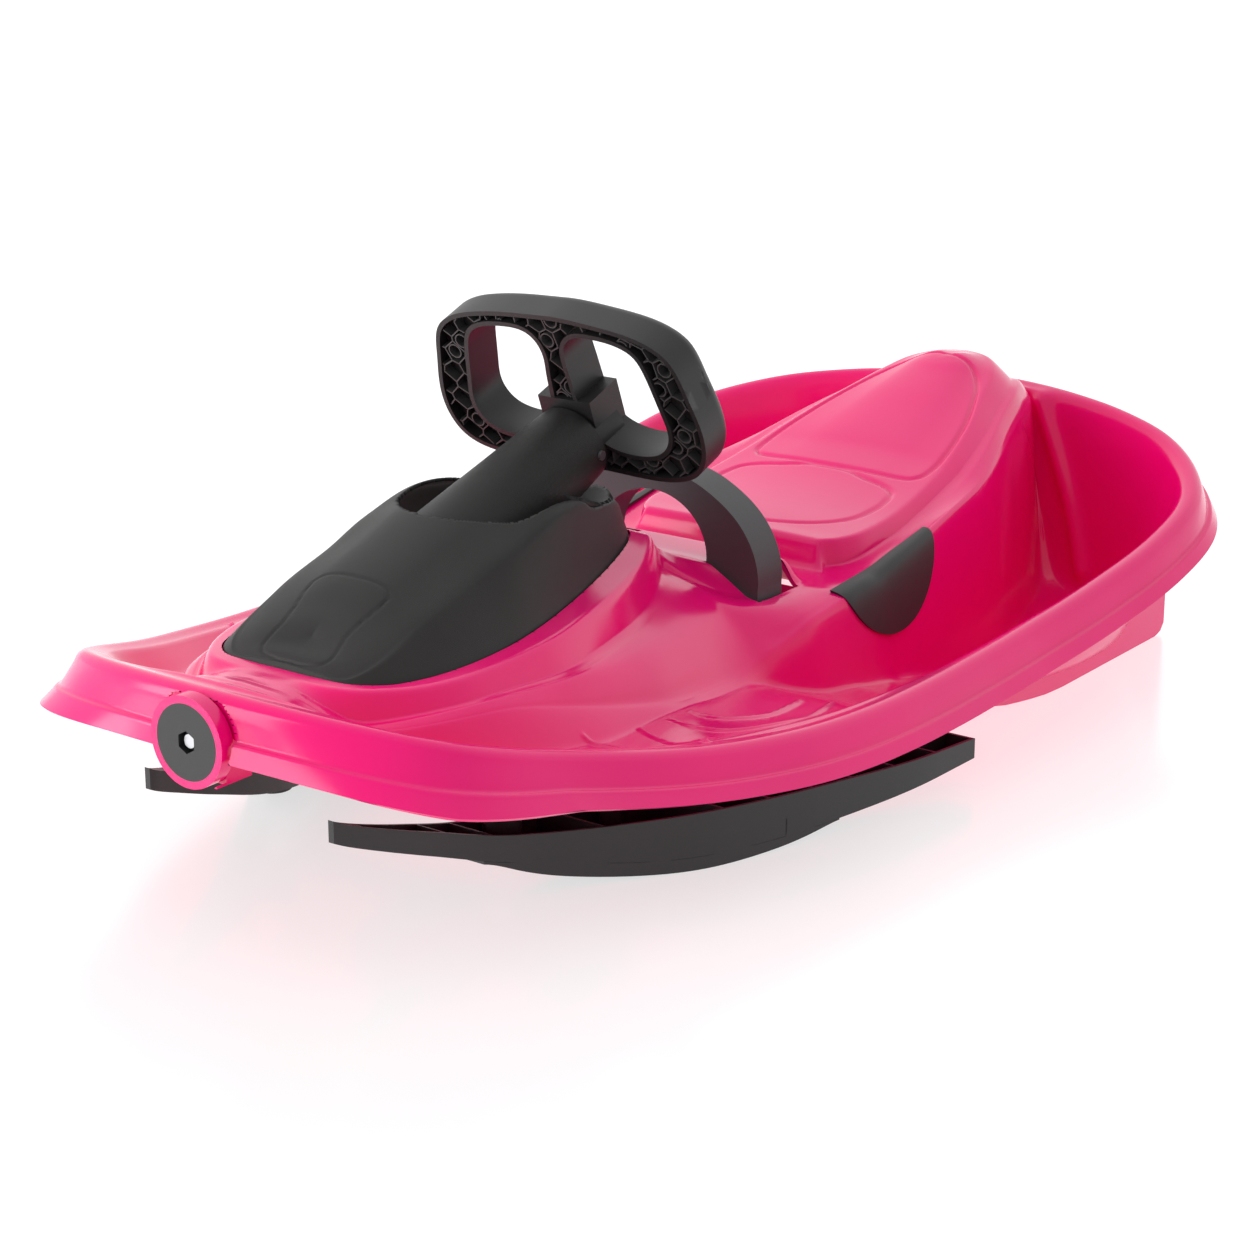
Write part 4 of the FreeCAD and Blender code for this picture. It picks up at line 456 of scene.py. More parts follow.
def pole_weights(count, places, degree):
    """Weight of each pole of a clamped even curve at places counted in spans."""
    spans = count - degree
    knots = np.concatenate(([0.0] * degree, np.arange(spans + 1.0), [spans] * degree))
    places = np.minimum(places, spans - 1e-9)
    weights = [((knots[i] <= places) & (places < knots[i + 1])).astype(float) for i in range(len(knots) - 1)]
    for order in range(1, degree + 1):
        for i in range(len(knots) - 1 - order):
            before = knots[i + order] - knots[i]
            after = knots[i + order + 1] - knots[i + 1]
            value = np.zeros_like(places)
            if before:
                value = value + (places - knots[i]) / before * weights[i]
            if after:
                value = value + (knots[i + order + 1] - places) / after * weights[i + 1]
            weights[i] = value
    return np.stack(weights[:count], axis=1)


def even_places(points, spacing, extra, degree):
    """Places in spans along a row of points, closer where the spans are short."""
    fine = np.linspace(0, len(points) - degree, CURVE_STEPS)
    curve = pole_weights(len(points), fine, degree) @ points
    steps = np.linalg.norm(np.diff(curve, axis=0), axis=1) + extra * np.diff(fine)
    walk = np.concatenate(([0.0], np.cumsum(steps)))
    return np.interp(np.linspace(0, walk[-1], int(walk[-1] / spacing)), walk, fine)


def surface_points(poles, extra):
    """Fine grid of points on a half surface, nose to tail and spine to edge."""
    rows = even_places(poles[:, GUIDE_COLUMN], SKIN_SPACING, ROW_EXTRA, ALONG_DEGREE)
    across = even_places(poles.mean(axis=0), SKIN_SPACING, extra, ACROSS_DEGREE)
    lines = np.tensordot(pole_weights(len(poles), rows, ALONG_DEGREE), poles, 1)
    return np.einsum("bj,ajk->abk", pole_weights(poles.shape[1], across, ACROSS_DEGREE), lines)


# Lines on the hull, in millimetres: outline or path, height (negative for a groove), half width
OVAL_PAD = ((-258, 0), (-257, 22), (-249, 45), (-243, 68), (-233, 82), (-211, 88), (-190, 88), (-167, 85),
            (-148, 75), (-133, 58), (-122, 30), (-118, 0))
BACK_PAD = ((-262, 0), (-262, 33), (-263, 72), (-267, 84), (-278, 90), (-313, 89), (-365, 79), (-405, 66),
            (-440, 50), (-460, 32), (-466, 14), (-467, 0))
FLOOR_RIDGES = (
    ((206, 171), (209, 188), (199, 204), (164, 213), (116, 207), (98, 203)),
    ((236, 173), (240, 194), (234, 219), (213, 236), (170, 243), (116, 233), (73, 219)),
    ((273, 171), (283, 194), (287, 219), (284, 240)),
    ((332, 163), (326, 176), (323, 190)),
)
WALL_LINE = ((-463, 88, 183), (-496, 80, 150), (-526, 75, 100), (-522, 84, 56))
WALL_FOLD = ((-544, 64, 187), (-536, 87, 143), (-524, 113, 92), (-506, 136, 37))
PAD_GROOVE = (-2.2, 2.2)
RIDGE = (2.4, 1.9)
LINE_RIDGE = (1.1, 1.3)
FOLD_RIDGE = (7.0, 10.0)
# Reach of a line's relief in half widths, and the number of points measured at a time
RELIEF_REACH = 4
RELIEF_BATCH = 4000
# Pads and ridges fade on steep faces: gain and loss on the upward share of the normal
UPWARD_GAIN = 2
UPWARD_LOSS = 0.6

# Openings of the hull, in millimetres
SLOT_X = (-38, 23)
SLOT_Y = (53, 111)
NOTCH_X = 566
NOTCH_Z = 147
NOTCH_RADIUS = 37.5
# Web behind each slot: x range, y range, z range
SLOT_WEB = ((-40.5, -38.5), (90, 114), (108, 129))

# Rails under the hull: outer and inner faces, places along them and the height of the lower edge there,
# points across, step along and the distance of the upper edge below the hull's surface
RAIL_Y = (238, 182)
RAIL_X = (-482, -476, -466, -420, -280, -250, -225, -200, -175, -150)
RAIL_BOTTOM = (10, 3, 0, 0, 0, 1.5, 4.5, 8, 12, 18)
RAIL_ROWS = 5
RAIL_STEP = 6
RAIL_INSET = 2.5

# Share of the flange's depth that shows along the sides, with the places where the full depth comes back,
# how far inside the rim and how far below it the flange starts, and the spacing of the rim's path
FLANGE_SHARE = 0.78
FLANGE_FULL = (-560, -440, 440, 530)
FLANGE_REACH = 8
FLANGE_START = 4
RIM_SPACING = 4.0

# Number of the solid's largest faces that the skin stands for, and the angle of a sharp edge on the others
SKIN_FACES = 2
HULL_CREASE = 30


def smooth_path(points, closed=False, spacing=1.0):
    """Even points along a rounded path through the given points."""
    points = np.array(points, dtype=float)
    if closed:
        points = np.concatenate([points, points[-2::-1] * [1, -1]])
    steps = np.linalg.norm(np.diff(points, axis=0), axis=1)
    places = np.concatenate(([0.0], np.cumsum(steps)))
    wanted = np.linspace(0, places[-1], int(places[-1] / spacing))
    columns = []
    for values in points.T:
        slopes = smooth_slopes(list(places), list(values), (values[1] - values[0]) / places[1],
                               (values[-1] - values[-2]) / steps[-1])
        columns.append([curve_value(places, values, slopes, place) for place in wanted])
    return np.stack(columns, axis=1)


def line_relief(points, path, profile):
    """Height of a rounded ridge or groove that follows a path."""
    height, half_width = profile
    relief = np.zeros(len(points))
    reach = RELIEF_REACH * half_width
    shared = points[:, :path.shape[1]]
    close = np.all((shared > path.min(axis=0) - reach) & (shared < path.max(axis=0) + reach), axis=1)
    index = np.flatnonzero(close)
    for part in np.array_split(index, max(1, len(index) // RELIEF_BATCH)):
        gap = np.linalg.norm(shared[part][:, None, :] - path[None, :, :], axis=2).min(axis=1)
        relief[part] = height * np.exp(-(gap / half_width) ** 2)
    return relief


def surface_normals(points):
    """Unit normals of a half grid of points, pointing up and out."""
    normals = np.cross(np.gradient(points, axis=1), np.gradient(points, axis=0))
    return normals / np.maximum(np.linalg.norm(normals, axis=2, keepdims=True), 1e-9)


def skin_relief(points, normals):
    """Height of the pads' grooves, the floor's ridges and the rear folds above the plain surface."""
    flat = points.reshape(-1, 3)
    upward = np.clip(normals.reshape(-1, 3)[:, 2] * UPWARD_GAIN - UPWARD_LOSS, 0, 1)
    relief = np.zeros(len(flat))
    for outline in (OVAL_PAD, BACK_PAD):
        relief += upward * line_relief(flat, smooth_path(outline, closed=True), PAD_GROOVE)
    for path in FLOOR_RIDGES:
        relief += upward * line_relief(flat, smooth_path(path), RIDGE)
    relief += line_relief(flat, smooth_path(WALL_LINE), LINE_RIDGE)
    relief += line_relief(flat, smooth_path(WALL_FOLD), FOLD_RIDGE)
    return relief.reshape(points.shape[:2])


def cowl_section(reach, row, slope):
    """Poles of one cowl section as (distance from the spine, height), by shares of the row's own sizes."""
    _, edge_z, spine_z, share, crest_z = row
    crest = share * reach
    rise = spine_z - crest_z
    fall = crest_z - edge_z
    side = reach - crest
    return (
        (0.0, spine_z),
        (0.3 * crest, spine_z + slope * 0.3 * crest),
        (0.7 * crest, crest_z + 0.40 * rise),
        (0.9 * crest, crest_z + 0.13 * rise),
        (crest - min(2, 0.05 * crest), crest_z),
        (crest + min(2, 0.1 * side), crest_z - 0.06 * fall),
        (crest + 0.3 * side, edge_z + 0.74 * fall),
        (crest + 0.6 * side, edge_z + 0.44 * fall),
        (reach - 0.06 * side, edge_z + 0.08 * fall),
        (reach, edge_z - 1),
        (reach, edge_z - 4),
        (reach, edge_z - COWL_SKIRT),
    )


def cowl_plan(count):
    """Even places along the cowl's outline, left half, with the places of its frames and the plan points."""
    outline = [row[:2] for row in COWL_FRAMES]
    places = plan_places(outline)
    wanted = np.linspace(0, places[-1], count)
    return places, wanted, plan_points(places, outline, wanted)


def cowl_poles():
    """Half grid of poles of the cowl's upper side, nose to tail and spine to skirt."""
    places, wanted, plan = cowl_plan(COWL_STATIONS)
    columns = [spread(places, values, wanted) for values in list(zip(*COWL_FRAMES))[2:]]
    spine, _, heights, _, _ = columns
    last = len(plan) - 1
    grid = []
    for i, (x, y) in enumerate(plan):
        if i in (0, last):
            y = 0.0
        before = max(i - 1, 0)
        after = min(i + 1, last)
        along = spine[after] - spine[before]
        lean = (heights[after] - heights[before]) / along if abs(along) > 1e-6 else 0.0
        reach, ahead, aside = section_line(x, y, spine[i])
        slope = max(-COWL_LEAN, min(COWL_LEAN, lean)) * ahead
        section = cowl_section(reach, [column[i] for column in columns], slope)
        grid.append([(spine[i] + ahead * d, aside * d, z) for d, z in section])
    return np.array(grid)


def channel_radius(along):
    """Radius of the channel at places along the column, narrower to the front."""
    narrowing = (CHANNEL_RADIUS[0] - CHANNEL_RADIUS[1]) / CHANNEL_LENGTH
    return CHANNEL_RADIUS[0] - narrowing * along


def column_gap(points):
    """Distance of points from the surface of the channel round the column, negative inside it."""
    places = points - COLUMN_HUB
    along = places @ COLUMN_FORWARD
    outward = np.sqrt(np.maximum((places ** 2).sum(axis=-1) - along ** 2, 0))
    return outward - channel_radius(along)


def mouth_gap(points):
    """Distance of points from the edge of the opening round the neck, negative inside it."""
    x, y = points[..., 0], points[..., 1]
    mouth = smooth_path(COWL_MOUTH)
    order = np.argsort(mouth[:, 0])
    width = np.interp(x, mouth[order, 0], mouth[order, 1])
    plan_gap = np.maximum(y - width, x - COWL_MOUTH[0][0])
    return np.maximum(plan_gap, column_gap(points) - np.interp(x, MOUTH_ROOM_X, MOUTH_ROOM))


def surface_tree(points, faces):
    """Search tree for the places where lines meet a surface."""
    return BVHTree.FromPolygons(points.tolist(), faces.tolist())


def channel_lining(shell):
    """Rear part of the channel under the neck, up to the cowl's surface."""
    along = np.linspace(*LINING_LENGTH, LINING_ROWS)[:, None, None]
    angle = np.radians(np.linspace(-LINING_ANGLE, LINING_ANGLE, LINING_COLUMNS))[None, :, None]
    outward = np.cos(angle) * COLUMN_DOWN + np.sin(angle) * LEFT
    points = COLUMN_HUB + along * COLUMN_FORWARD + channel_radius(along) * outward
    tree = surface_tree(*shell)
    room = np.full(points.shape[:2], -1.0)
    for index in np.ndindex(room.shape):
        x, y, z = points[index]
        place, _, _, _ = tree.ray_cast(Vector((x, y, ABOVE_ALL)), Vector((0, 0, -1)))
        if place:
            room[index] = place.z - z
    number = np.arange(room.size).reshape(room.shape)
    return used_only(trim(points, room).reshape(-1, 3), grid_faces(number, room >= 0))


def cowl_piece():
    """The cowl as a shell with a crisp crest, a blank panel and an open mouth round the neck."""
    half = surface_points(cowl_poles(), COWL_EXTRA)
    panel = line_relief(half.reshape(-1, 3), smooth_path(COWL_PANEL, closed=True), PANEL_GROOVE)
    shaped = half + surface_normals(half) * panel.reshape(half.shape[:2])[..., None]
    gap = mouth_gap(half)
    points, faces = whole_skin(trim(shaped, gap), gap >= 0)
    shell = mesh_object("cowl_shell", points, faces.tolist(), MATERIALS["cowl"], COWL_CREASE)
    points, faces = channel_lining(whole_skin(half, np.ones(gap.shape, bool)))
    lining = mesh_object("cowl_lining", points, faces.tolist(), MATERIALS["cowl"], COWL_CREASE)
    for piece in (shell, lining):
        wall = piece.modifiers.new("wall", "SOLIDIFY")
        wall.thickness = COWL_WALL * MM
        wall.offset = -1.0
        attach(piece, "hull")
        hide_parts("cowl")


def cowl_outline():
    """Edge of the hull's opening for the cowl, left half, as plan points."""
    _, _, points = cowl_plan(OUTLINE_POINTS)
    plan = np.array(points)
    along = np.gradient(plan, axis=0)
    outward = np.stack([along[:, 1], -along[:, 0]], axis=1)
    return plan + COWL_GAP * outward / np.linalg.norm(outward, axis=1, keepdims=True)


def outline_gap(x, y, outline, middle_x):
    """Distance of plan points beyond an outline, along lines from its middle, negative inside it."""
    angle = np.arctan2(outline[:, 1], outline[:, 0] - middle_x)
    reach = np.hypot(outline[:, 1], outline[:, 0] - middle_x)
    order = np.argsort(angle)
    edge = np.interp(np.arctan2(y, x - middle_x), angle[order], reach[order])
    return np.hypot(y, x - middle_x) - edge


def opening_distance(points):
    """Distance from the nearest opening's edge, negative inside it."""
    x, y, z = points[..., 0], points[..., 1], points[..., 2]
    outline = cowl_outline()
    middle_x = 0.5 * (outline[:, 0].max() + outline[:, 0].min())
    cowl = outline_gap(x, y, outline, middle_x)
    slot = np.maximum(np.maximum(SLOT_X[0] - x, x - SLOT_X[1]), np.maximum(SLOT_Y[0] - y, y - SLOT_Y[1]))
    notch = np.maximum(np.hypot(y, z - NOTCH_Z) - NOTCH_RADIUS, NOTCH_X - x)
    return np.minimum(np.minimum(cowl, slot), notch)


def trim(points, inside_gap):
    """Move the first points outside an opening onto its edge."""
    moved = points.copy()
    best = np.full(points.shape[:2], np.inf)
    for axis, step in ((0, 1), (0, -1), (1, 1), (1, -1)):
        other = np.roll(points, step, axis=axis)
        other_gap = np.roll(inside_gap, step, axis=axis)
        edge = [slice(None), slice(None)]
        edge[axis] = 0 if step == 1 else -1
        other_gap[tuple(edge)] = 1.0
        crosses = (inside_gap >= 0) & (other_gap < 0)
        share = np.where(crosses, inside_gap / np.maximum(inside_gap - other_gap, 1e-9), np.inf)
        better = crosses & (share < best)
        best = np.where(better, share, best)
        moved[better] = (points + (other - points) * np.where(crosses, share, 0.0)[..., None])[better]
    return moved


def mesh_object(name, points, faces, material, smooth_angle=None):
    """Mesh piece in metres from points in millimetres."""
    mesh = bpy.data.meshes.new(name)
    mesh.from_pydata((np.asarray(points) * MM).tolist(), [], faces)
    mesh.materials.append(material)
    mesh.polygons.foreach_set("use_smooth", [True] * len(mesh.polygons))
    if smooth_angle:
        mesh.set_sharp_from_angle(angle=math.radians(smooth_angle))
    piece = bpy.data.objects.new(name, mesh)
    bpy.context.scene.collection.objects.link(piece)
    return piece


def grid_faces(number, kept):
    """Corner numbers of the faces of a grid whose four corners are all kept."""
    whole = kept[:-1, :-1] & kept[1:, :-1] & kept[1:, 1:] & kept[:-1, 1:]
    corners = np.stack([number[:-1, :-1], number[:-1, 1:], number[1:, 1:], number[1:, :-1]], axis=2)
    return corners[whole]


def used_only(points, faces):
    """The points that faces use, and the faces numbered by them."""
    used, index = np.unique(faces, return_inverse=True)
    return points[used], index.reshape(faces.shape)


def whole_skin(half, kept):
    """Points and faces of both halves of a surface, joined on the centre plane."""
    rows, columns = half.shape[:2]
    count = rows * columns
    left = np.arange(count).reshape(rows, columns)
    right = left + count
    right[:, 0] = left[:, 0]
    right[0, :] = left[0, :]
    right[-1, :] = left[-1, :]
    points = np.concatenate([half.reshape(-1, 3), half.reshape(-1, 3) * [1, -1, 1]])
    return used_only(points, np.concatenate([grid_faces(left, kept), grid_faces(right, kept)[:, ::-1]]))


def shorten_flange(points):
    """Raise the flange's lower edge along the sides, for points of any shape in millimetres."""
    rim = smooth_path(rim_points(), spacing=RIM_SPACING)
    beyond = outline_gap(points[..., 0], np.abs(points[..., 1]), rim, 0) > -FLANGE_REACH
    x = np.clip(points[..., 0], TAIL_X, NOSE_X)
    share = np.interp(x, FLANGE_FULL, (1.0, FLANGE_SHARE, FLANGE_SHARE, 1.0))
    below = np.maximum(rim_height(x) - points[..., 2] - FLANGE_START, 0)
    moved = points.copy()
    moved[..., 2] += np.where(beyond, (1 - share) * below, 0.0)
    return moved


def box_mesh(x_range, y_range, z_range):
    """Corner points and faces of a box."""
    corners = [(x, y, z) for x in x_range for y in y_range for z in z_range]
    faces = [(0, 1, 3, 2), (4, 6, 7, 5), (0, 4, 5, 1), (2, 3, 7, 6), (0, 2, 6, 4), (1, 5, 7, 3)]
    return corners, faces


def joined(meshes):
    """Points and faces of several meshes as one."""
    points = []
    faces = []
    for more_points, more_faces in meshes:
        start = len(points)
        points.extend(more_points)
        faces.extend([[start + index for index in face] for face in more_faces])
    return points, faces


def ring_faces(rings, count):
    """Side faces of a bar made of rings with the same number of points."""
    faces = []
    for start in range(0, (rings - 1) * count, count):
        for j in range(count):
            following = (j + 1) % count
            faces.append((start + j, start + following, start + count + following, start + count + j))
    return faces


def rail_mesh(tree, side):
    """One rail, from its lower edge up to the hull's floor and wall."""
    stations = np.arange(RAIL_X[0], RAIL_X[-1] + RAIL_STEP, RAIL_STEP)
    bottoms = np.interp(stations, RAIL_X, RAIL_BOTTOM)
    widths = np.linspace(*RAIL_Y, RAIL_ROWS)
    points = []
    for x, bottom in zip(stations, bottoms):
        lower = [(x, side * y, bottom) for y in widths]
        upper = []
        for y in widths:
            place, _, _, _ = tree.ray_cast(Vector((x, side * y, BELOW_ALL)), Vector((0, 0, 1)))
            upper.append((x, side * y, max(bottom, place.z - RAIL_INSET)))
        points.extend(lower + upper[::-1])
    count = 2 * RAIL_ROWS
    faces = ring_faces(len(stations), count)
    last = (len(stations) - 1) * count
    for j in range(RAIL_ROWS - 1):
        faces.append((j, j + 1, count - 2 - j, count - 1 - j))
        faces.append((last + j, last + count - 1 - j, last + count - 2 - j, last + j + 1))
    return points, faces


def face_groups(mesh):
    """Group number of every vertex of a mesh, one group for each separate face of the solid."""
    group = np.arange(len(mesh.vertices))
    edges = np.array([edge.vertices[:] for edge in mesh.edges])
    while True:
        lowest = np.minimum(group[edges[:, 0]], group[edges[:, 1]])
        before = group.copy()
        np.minimum.at(group, edges[:, 0], lowest)
        np.minimum.at(group, edges[:, 1], lowest)
        group = group[group]
        if np.array_equal(before, group):
            return group


def faces_of(mesh, chosen):
    """Points in millimetres and faces of a mesh, for the chosen groups only."""
    group = face_groups(mesh)
    kept = [list(face.vertices) for face in mesh.polygons if int(group[face.vertices[0]]) in chosen]
    used, index = np.unique(np.concatenate(kept), return_inverse=True)
    points = np.array([tuple(vertex.co) for vertex in mesh.vertices])[used] / MM
    ends = np.cumsum([len(face) for face in kept])[:-1]
    return points, [part.tolist() for part in np.split(index, ends)]


def without_largest(mesh, count):
    """Groups of a mesh without the largest faces of the solid."""
    group = face_groups(mesh)
    owner = [group[face.vertices[0]] for face in mesh.polygons]
    area = np.bincount(owner, weights=[face.area for face in mesh.polygons], minlength=len(group))
    return set(group.tolist()) - set(np.argsort(area)[-count:].tolist())


def hull_pieces():
    """The hull's upper side with its fine lines, and the rest of the moulding."""
    half = surface_points(hull_poles(), HULL_EXTRA)
    normals = surface_normals(half)
    shaped = shorten_flange(half + normals * skin_relief(half, normals)[..., None])
    gap = opening_distance(half)
    points, faces = whole_skin(trim(shaped, gap), gap >= 0)
    skin = mesh_object("hull_skin", points, faces.tolist(), MATERIALS["hull"])
    node = frame["nodes"]["hull"].data
    body_points, body_faces = faces_of(node, without_largest(node, SKIN_FACES))
    webs = [box_mesh(SLOT_WEB[0], [side * y for y in SLOT_WEB[1]], SLOT_WEB[2]) for side in (1, -1)]
    tree = surface_tree(*whole_skin(half, np.ones(half.shape[:2], bool)))
    rails = [rail_mesh(tree, side) for side in (1, -1)]
    body_points, body_faces = joined([(shorten_flange(body_points).tolist(), body_faces), *webs, *rails])
    body = mesh_object("hull_body", body_points, body_faces, MATERIALS["hull"], HULL_CREASE)
    for piece in (skin, body):
        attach(piece, "hull")
        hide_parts("hull")


# Wheel front, in millimetres in the column's own frame: outline and opening of one half, spacing of their
# points, ranges of the hub, front and back of the ribs, their width and their distance from the walls
WHEEL_OUTLINE = ((0, 117), (40, 115), (72, 111), (97, 104), (115, 91), (125, 63), (132, 30), (130, 5),
                 (119, -13), (98, -23), (68, -26), (34, -25), (0, -24))
WHEEL_OPENING = ((13, 88), (22, 98), (45, 101), (66, 98), (81, 90), (88, 75), (95, 42), (97, 17), (89, 4),
                 (66, -4), (45, -3), (24, 7), (14, 34), (12, 62), (13, 88))
WHEEL_SPACING = 2.0
WHEEL_HUB = ((-27, 27), (-30, 41))
RIB_DEPTH = (-18.5, -27.5)
RIB_WIDTH = 1.1
RIB_EDGE = 4.5
RIB_CREASE = 30
# Cells between the ribs: rows and columns, distance, height of a row as a share of it, height of the middle
# row, unevenness as a share of the distance and the waves it follows
CELL_ROWS = range(-4, 10)
CELL_COLUMNS = range(-10, 11)
CELL_SPACING = 17.0
CELL_ROW_SHARE = 0.87
CELL_RISE = 6
CELL_JITTER = 0.21
CELL_WAVES = ((12.9, 7.3), (4.1, -9.7))
# Half side of the square that a cell is cut from, and the reach of its neighbours in cell distances
CELL_SQUARE = 30
CELL_REACH = 3
# Round ribs: one in this many cells, radius, points
CIRCLE_EVERY = 4
CIRCLE_RADIUS = 6.0
CIRCLE_POINTS = 33


def inside_path(points, path):
    """Whether plan points are inside a closed path."""
    inside = np.zeros(len(points), bool)
    for (x0, y0), (x1, y1) in zip(path, np.roll(path, -1, axis=0)):
        if y0 == y1:
            continue
        spans = (y0 > points[:, 1]) != (y1 > points[:, 1])
        crossing = x0 + (points[:, 1] - y0) * (x1 - x0) / (y1 - y0)
        inside ^= spans & (points[:, 0] < crossing)
    return inside


def rib_room(points, outline, opening):
    """Whether plan points are on the wheel's recessed front, clear of its walls."""
    mirrored = np.stack([np.abs(points[:, 0]), points[:, 1]], axis=1)
    low, high = np.array(WHEEL_HUB).T
    hub = np.all((points > low) & (points < high), axis=1)
    walls = np.concatenate([outline, opening])
    gap = np.linalg.norm(mirrored[:, None, :] - walls[None, :, :], axis=2).min(axis=1)
    return inside_path(mirrored, outline) & ~inside_path(mirrored, opening) & (gap > RIB_EDGE) & ~hub


def cell_seeds():
    """Middles of the cells, an uneven staggered pattern."""
    seeds = []
    for row in CELL_ROWS:
        shift = 0.5 if row % 2 else 0.0
        for column in CELL_COLUMNS:
            aside, upward = [CELL_JITTER * math.sin(a * row + b * column) for a, b in CELL_WAVES]
            seeds.append((CELL_SPACING * (column + shift + aside),
                          CELL_SPACING * (CELL_ROW_SHARE * row + upward) + CELL_RISE))
    return np.array(seeds)


def cell_corners(seed, others):
    """Corners of the area nearer to one seed than to the others."""
    corners = [seed + np.array(step) * CELL_SQUARE for step in ((-1, -1), (1, -1), (1, 1), (-1, 1))]
    for other in others:
        middle = 0.5 * (seed + other)
        toward = other - seed
        clipped = []
        for start, end in zip(corners, corners[1:] + corners[:1]):
            a = (start - middle) @ toward
            b = (end - middle) @ toward
            if a <= 0:
                clipped.append(start)
            if (a < 0 < b) or (b < 0 < a):
                clipped.append(start + (end - start) * a / (a - b))
        corners = clipped
    return corners


def rib_paths():
    """Paths of the ribs between the cells, and of the round ribs inside some of them."""
    seeds = cell_seeds()
    turn = np.linspace(0, 2 * math.pi, CIRCLE_POINTS)
    circle = CIRCLE_RADIUS * np.stack([np.cos(turn), np.sin(turn)], axis=1)
    paths = {}
    for i, seed in enumerate(seeds):
        gaps = np.linalg.norm(seeds - seed, axis=1)
        near = seeds[(gaps > 0) & (gaps < CELL_REACH * CELL_SPACING)]
        corners = cell_corners(seed, near)
        for start, end in zip(corners, corners[1:] + corners[:1]):
            middle = tuple(np.round(0.5 * (start + end), 1))
            steps = max(2, int(np.linalg.norm(end - start)))
            paths[middle] = start + np.linspace(0, 1, steps)[:, None] * (end - start)
        if i % CIRCLE_EVERY == 0:
            paths[tuple(np.round(seed, 1))] = seed + circle
    return list(paths.values())


def runs_inside(path, outline, opening):
    """Unbroken lengths of a path that have room on the wheel's front."""
    room = rib_room(path, outline, opening)
    runs = []
    current = []
    for place, free in zip(path, room):
        if free:
            current.append(place)
        else:
            runs.append(current)
            current = []
    runs.append(current)
    return [np.array(run) for run in runs if len(run) > 2]


def rib_mesh(path):
    """One thin rib along a path, in the column's frame."""
    along = np.gradient(path, axis=0)
    across = np.stack([-along[:, 1], along[:, 0]], axis=1)
    across *= 0.5 * RIB_WIDTH / np.linalg.norm(across, axis=1, keepdims=True)
    front, back = RIB_DEPTH
    ring = ((front, 1), (back, 1), (back, -1), (front, -1))
    points = [(*(place + way * step), depth) for place, step in zip(path, across) for depth, way in ring]
    faces = ring_faces(len(path), len(ring))
    last = len(points) - len(ring)
    faces.append((3, 2, 1, 0))
    faces.append((last, last + 1, last + 2, last + 3))
    return points, faces


def wheel_lattice():
    """Ribs of the wheel's hollow front."""
    outline = smooth_path(WHEEL_OUTLINE, spacing=WHEEL_SPACING)
    opening = smooth_path(WHEEL_OPENING, spacing=WHEEL_SPACING)
    runs = [run for path in rib_paths() for run in runs_inside(path, outline, opening)]
    points, faces = joined([rib_mesh(run) for run in runs])
    placed = np.array(points) @ np.array([-LEFT, -COLUMN_DOWN, -COLUMN_FORWARD]) + COLUMN_HUB
    piece = mesh_object("wheel_lattice", placed, faces, MATERIALS["rib"], RIB_CREASE)
    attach(piece, "steering")


# Brightness of the surroundings behind the camera and behind the object, and the reach of the change between
DIM_SIDE = 0.45
BRIGHT_SIDE = 1.12
SIDE_BLEND = 0.8
# Lamps: place, target and size in metres, power in watts
SOFTBOX = ((2.4, -1.7, 0.9), (0.2, 0, 0.15), (2.4, 1.6), 48)
TOP_BOX = ((0.9, 0.9, 2.4), (0, 0, 0.15), (1.8, 1.8), 5)
# Floor: side in metres, colour, roughness, refraction and glow
FLOOR_SIZE = 40
FLOOR_COLOR = (0.38, 0.38, 0.38)
FLOOR_ROUGHNESS = 0.2
FLOOR_IOR = 1.8
FLOOR_GLOW = 0.66
WHITE = (1, 1, 1, 1)


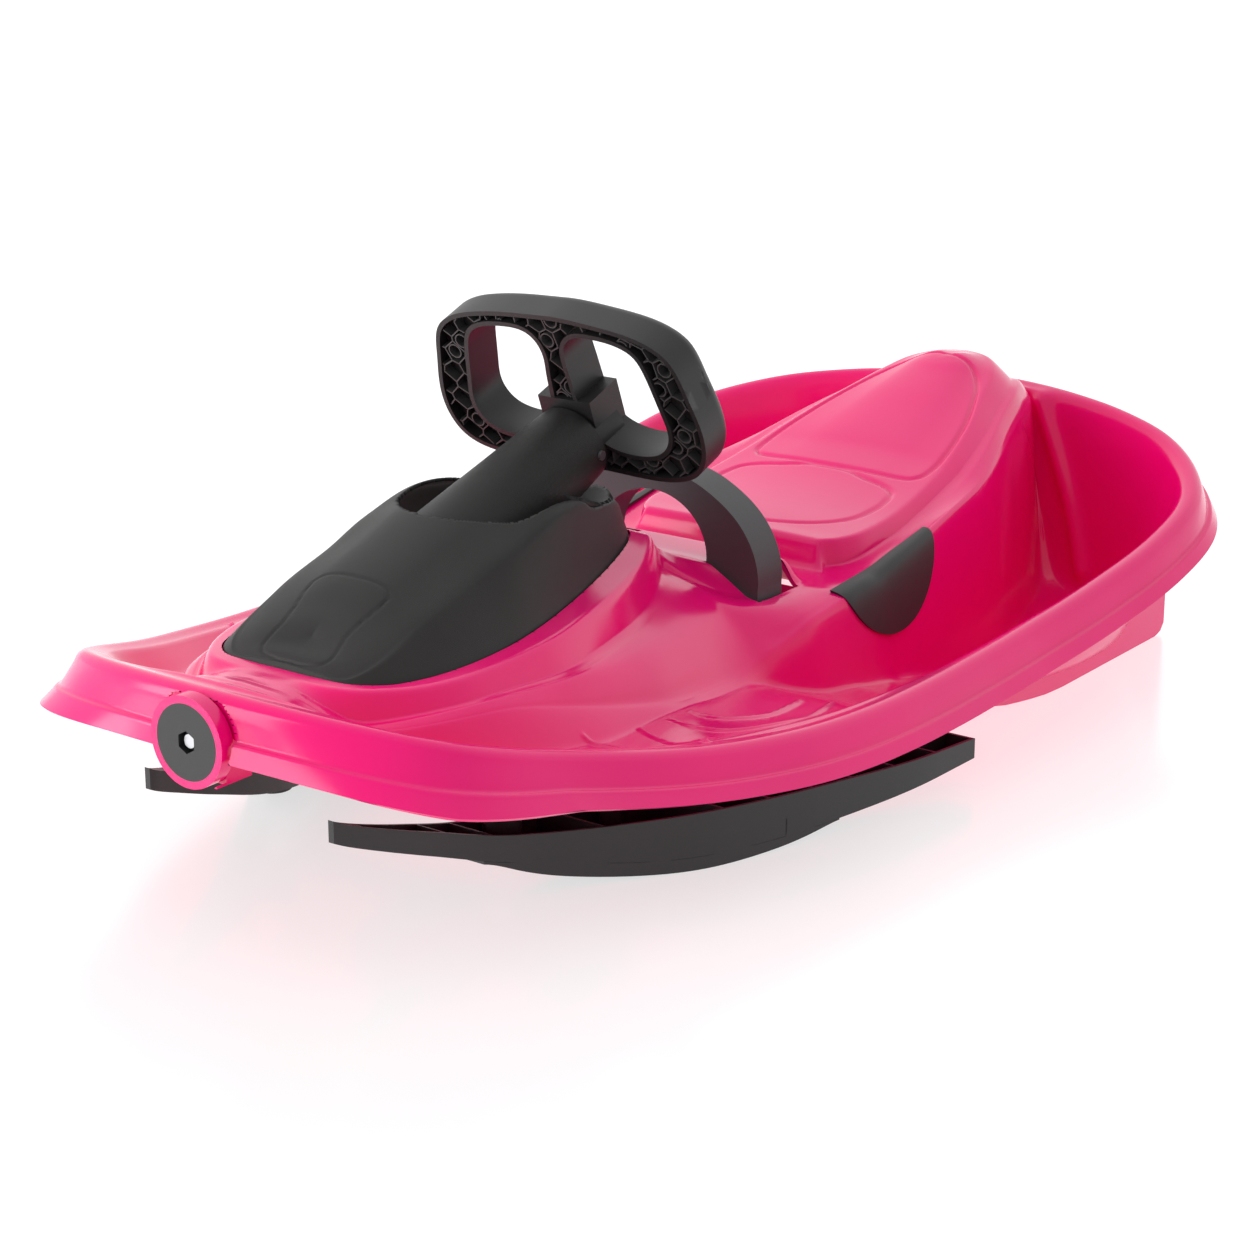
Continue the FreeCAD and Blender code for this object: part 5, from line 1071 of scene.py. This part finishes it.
def area_light(name, place, target, size, power, mirrored=True):
    """Large soft lamp, seen in reflections or not."""
    data = bpy.data.lights.new(name, "AREA")
    data.shape = "RECTANGLE"
    data.size, data.size_y = size
    data.energy = power
    lamp = bpy.data.objects.new(name, data)
    lamp.location = place
    lamp.rotation_mode = "QUATERNION"
    lamp.rotation_quaternion = (Vector(target) - Vector(place)).to_track_quat("-Z", "Y")
    lamp.visible_glossy = mirrored
    bpy.context.scene.collection.objects.link(lamp)


def make_world():
    """Studio surroundings: a bright wall behind the object, dim behind the camera."""
    world = bpy.data.worlds.new("studio")
    bpy.context.scene.world = world
    world.use_nodes = True
    nodes = world.node_tree.nodes
    links = world.node_tree.links
    place = nodes.new("ShaderNodeTexCoord")
    facing = nodes.new("ShaderNodeVectorMath")
    facing.operation = "DOT_PRODUCT"
    turn = math.radians(CAMERA_TURN)
    facing.inputs[1].default_value = (-math.cos(turn), -math.sin(turn), 0.0)
    links.new(place.outputs["Generated"], facing.inputs[0])
    power = nodes.new("ShaderNodeMapRange")
    power.interpolation_type = "SMOOTHSTEP"
    power.inputs["From Min"].default_value = -SIDE_BLEND
    power.inputs["From Max"].default_value = SIDE_BLEND
    power.inputs["To Min"].default_value = DIM_SIDE
    power.inputs["To Max"].default_value = BRIGHT_SIDE
    links.new(facing.outputs["Value"], power.inputs["Value"])
    background = nodes["Background"]
    background.inputs["Color"].default_value = WHITE
    links.new(power.outputs["Result"], background.inputs["Strength"])


def make_stage():
    """Bright glossy floor and soft studio light."""
    bpy.ops.mesh.primitive_plane_add(size=FLOOR_SIZE, location=(0, 0, 0))
    floor = bpy.context.object
    floor.name = "floor"
    white = node_material("floor_white", FLOOR_COLOR, FLOOR_ROUGHNESS, grain=60, bump=0.0, speck=0.005)
    shader = white.node_tree.nodes["Principled BSDF"]
    shader.inputs["IOR"].default_value = FLOOR_IOR
    shader.inputs["Emission Color"].default_value = WHITE
    shader.inputs["Emission Strength"].default_value = FLOOR_GLOW
    floor.data.materials.append(white)
    make_world()
    area_light("softbox", *SOFTBOX)
    area_light("top_box", *TOP_BOX, mirrored=False)
    bpy.context.scene.view_settings.view_transform = "Standard"


make_camera()
dress_nodes()
hull_pieces()
cowl_piece()
wheel_lattice()
make_stage()
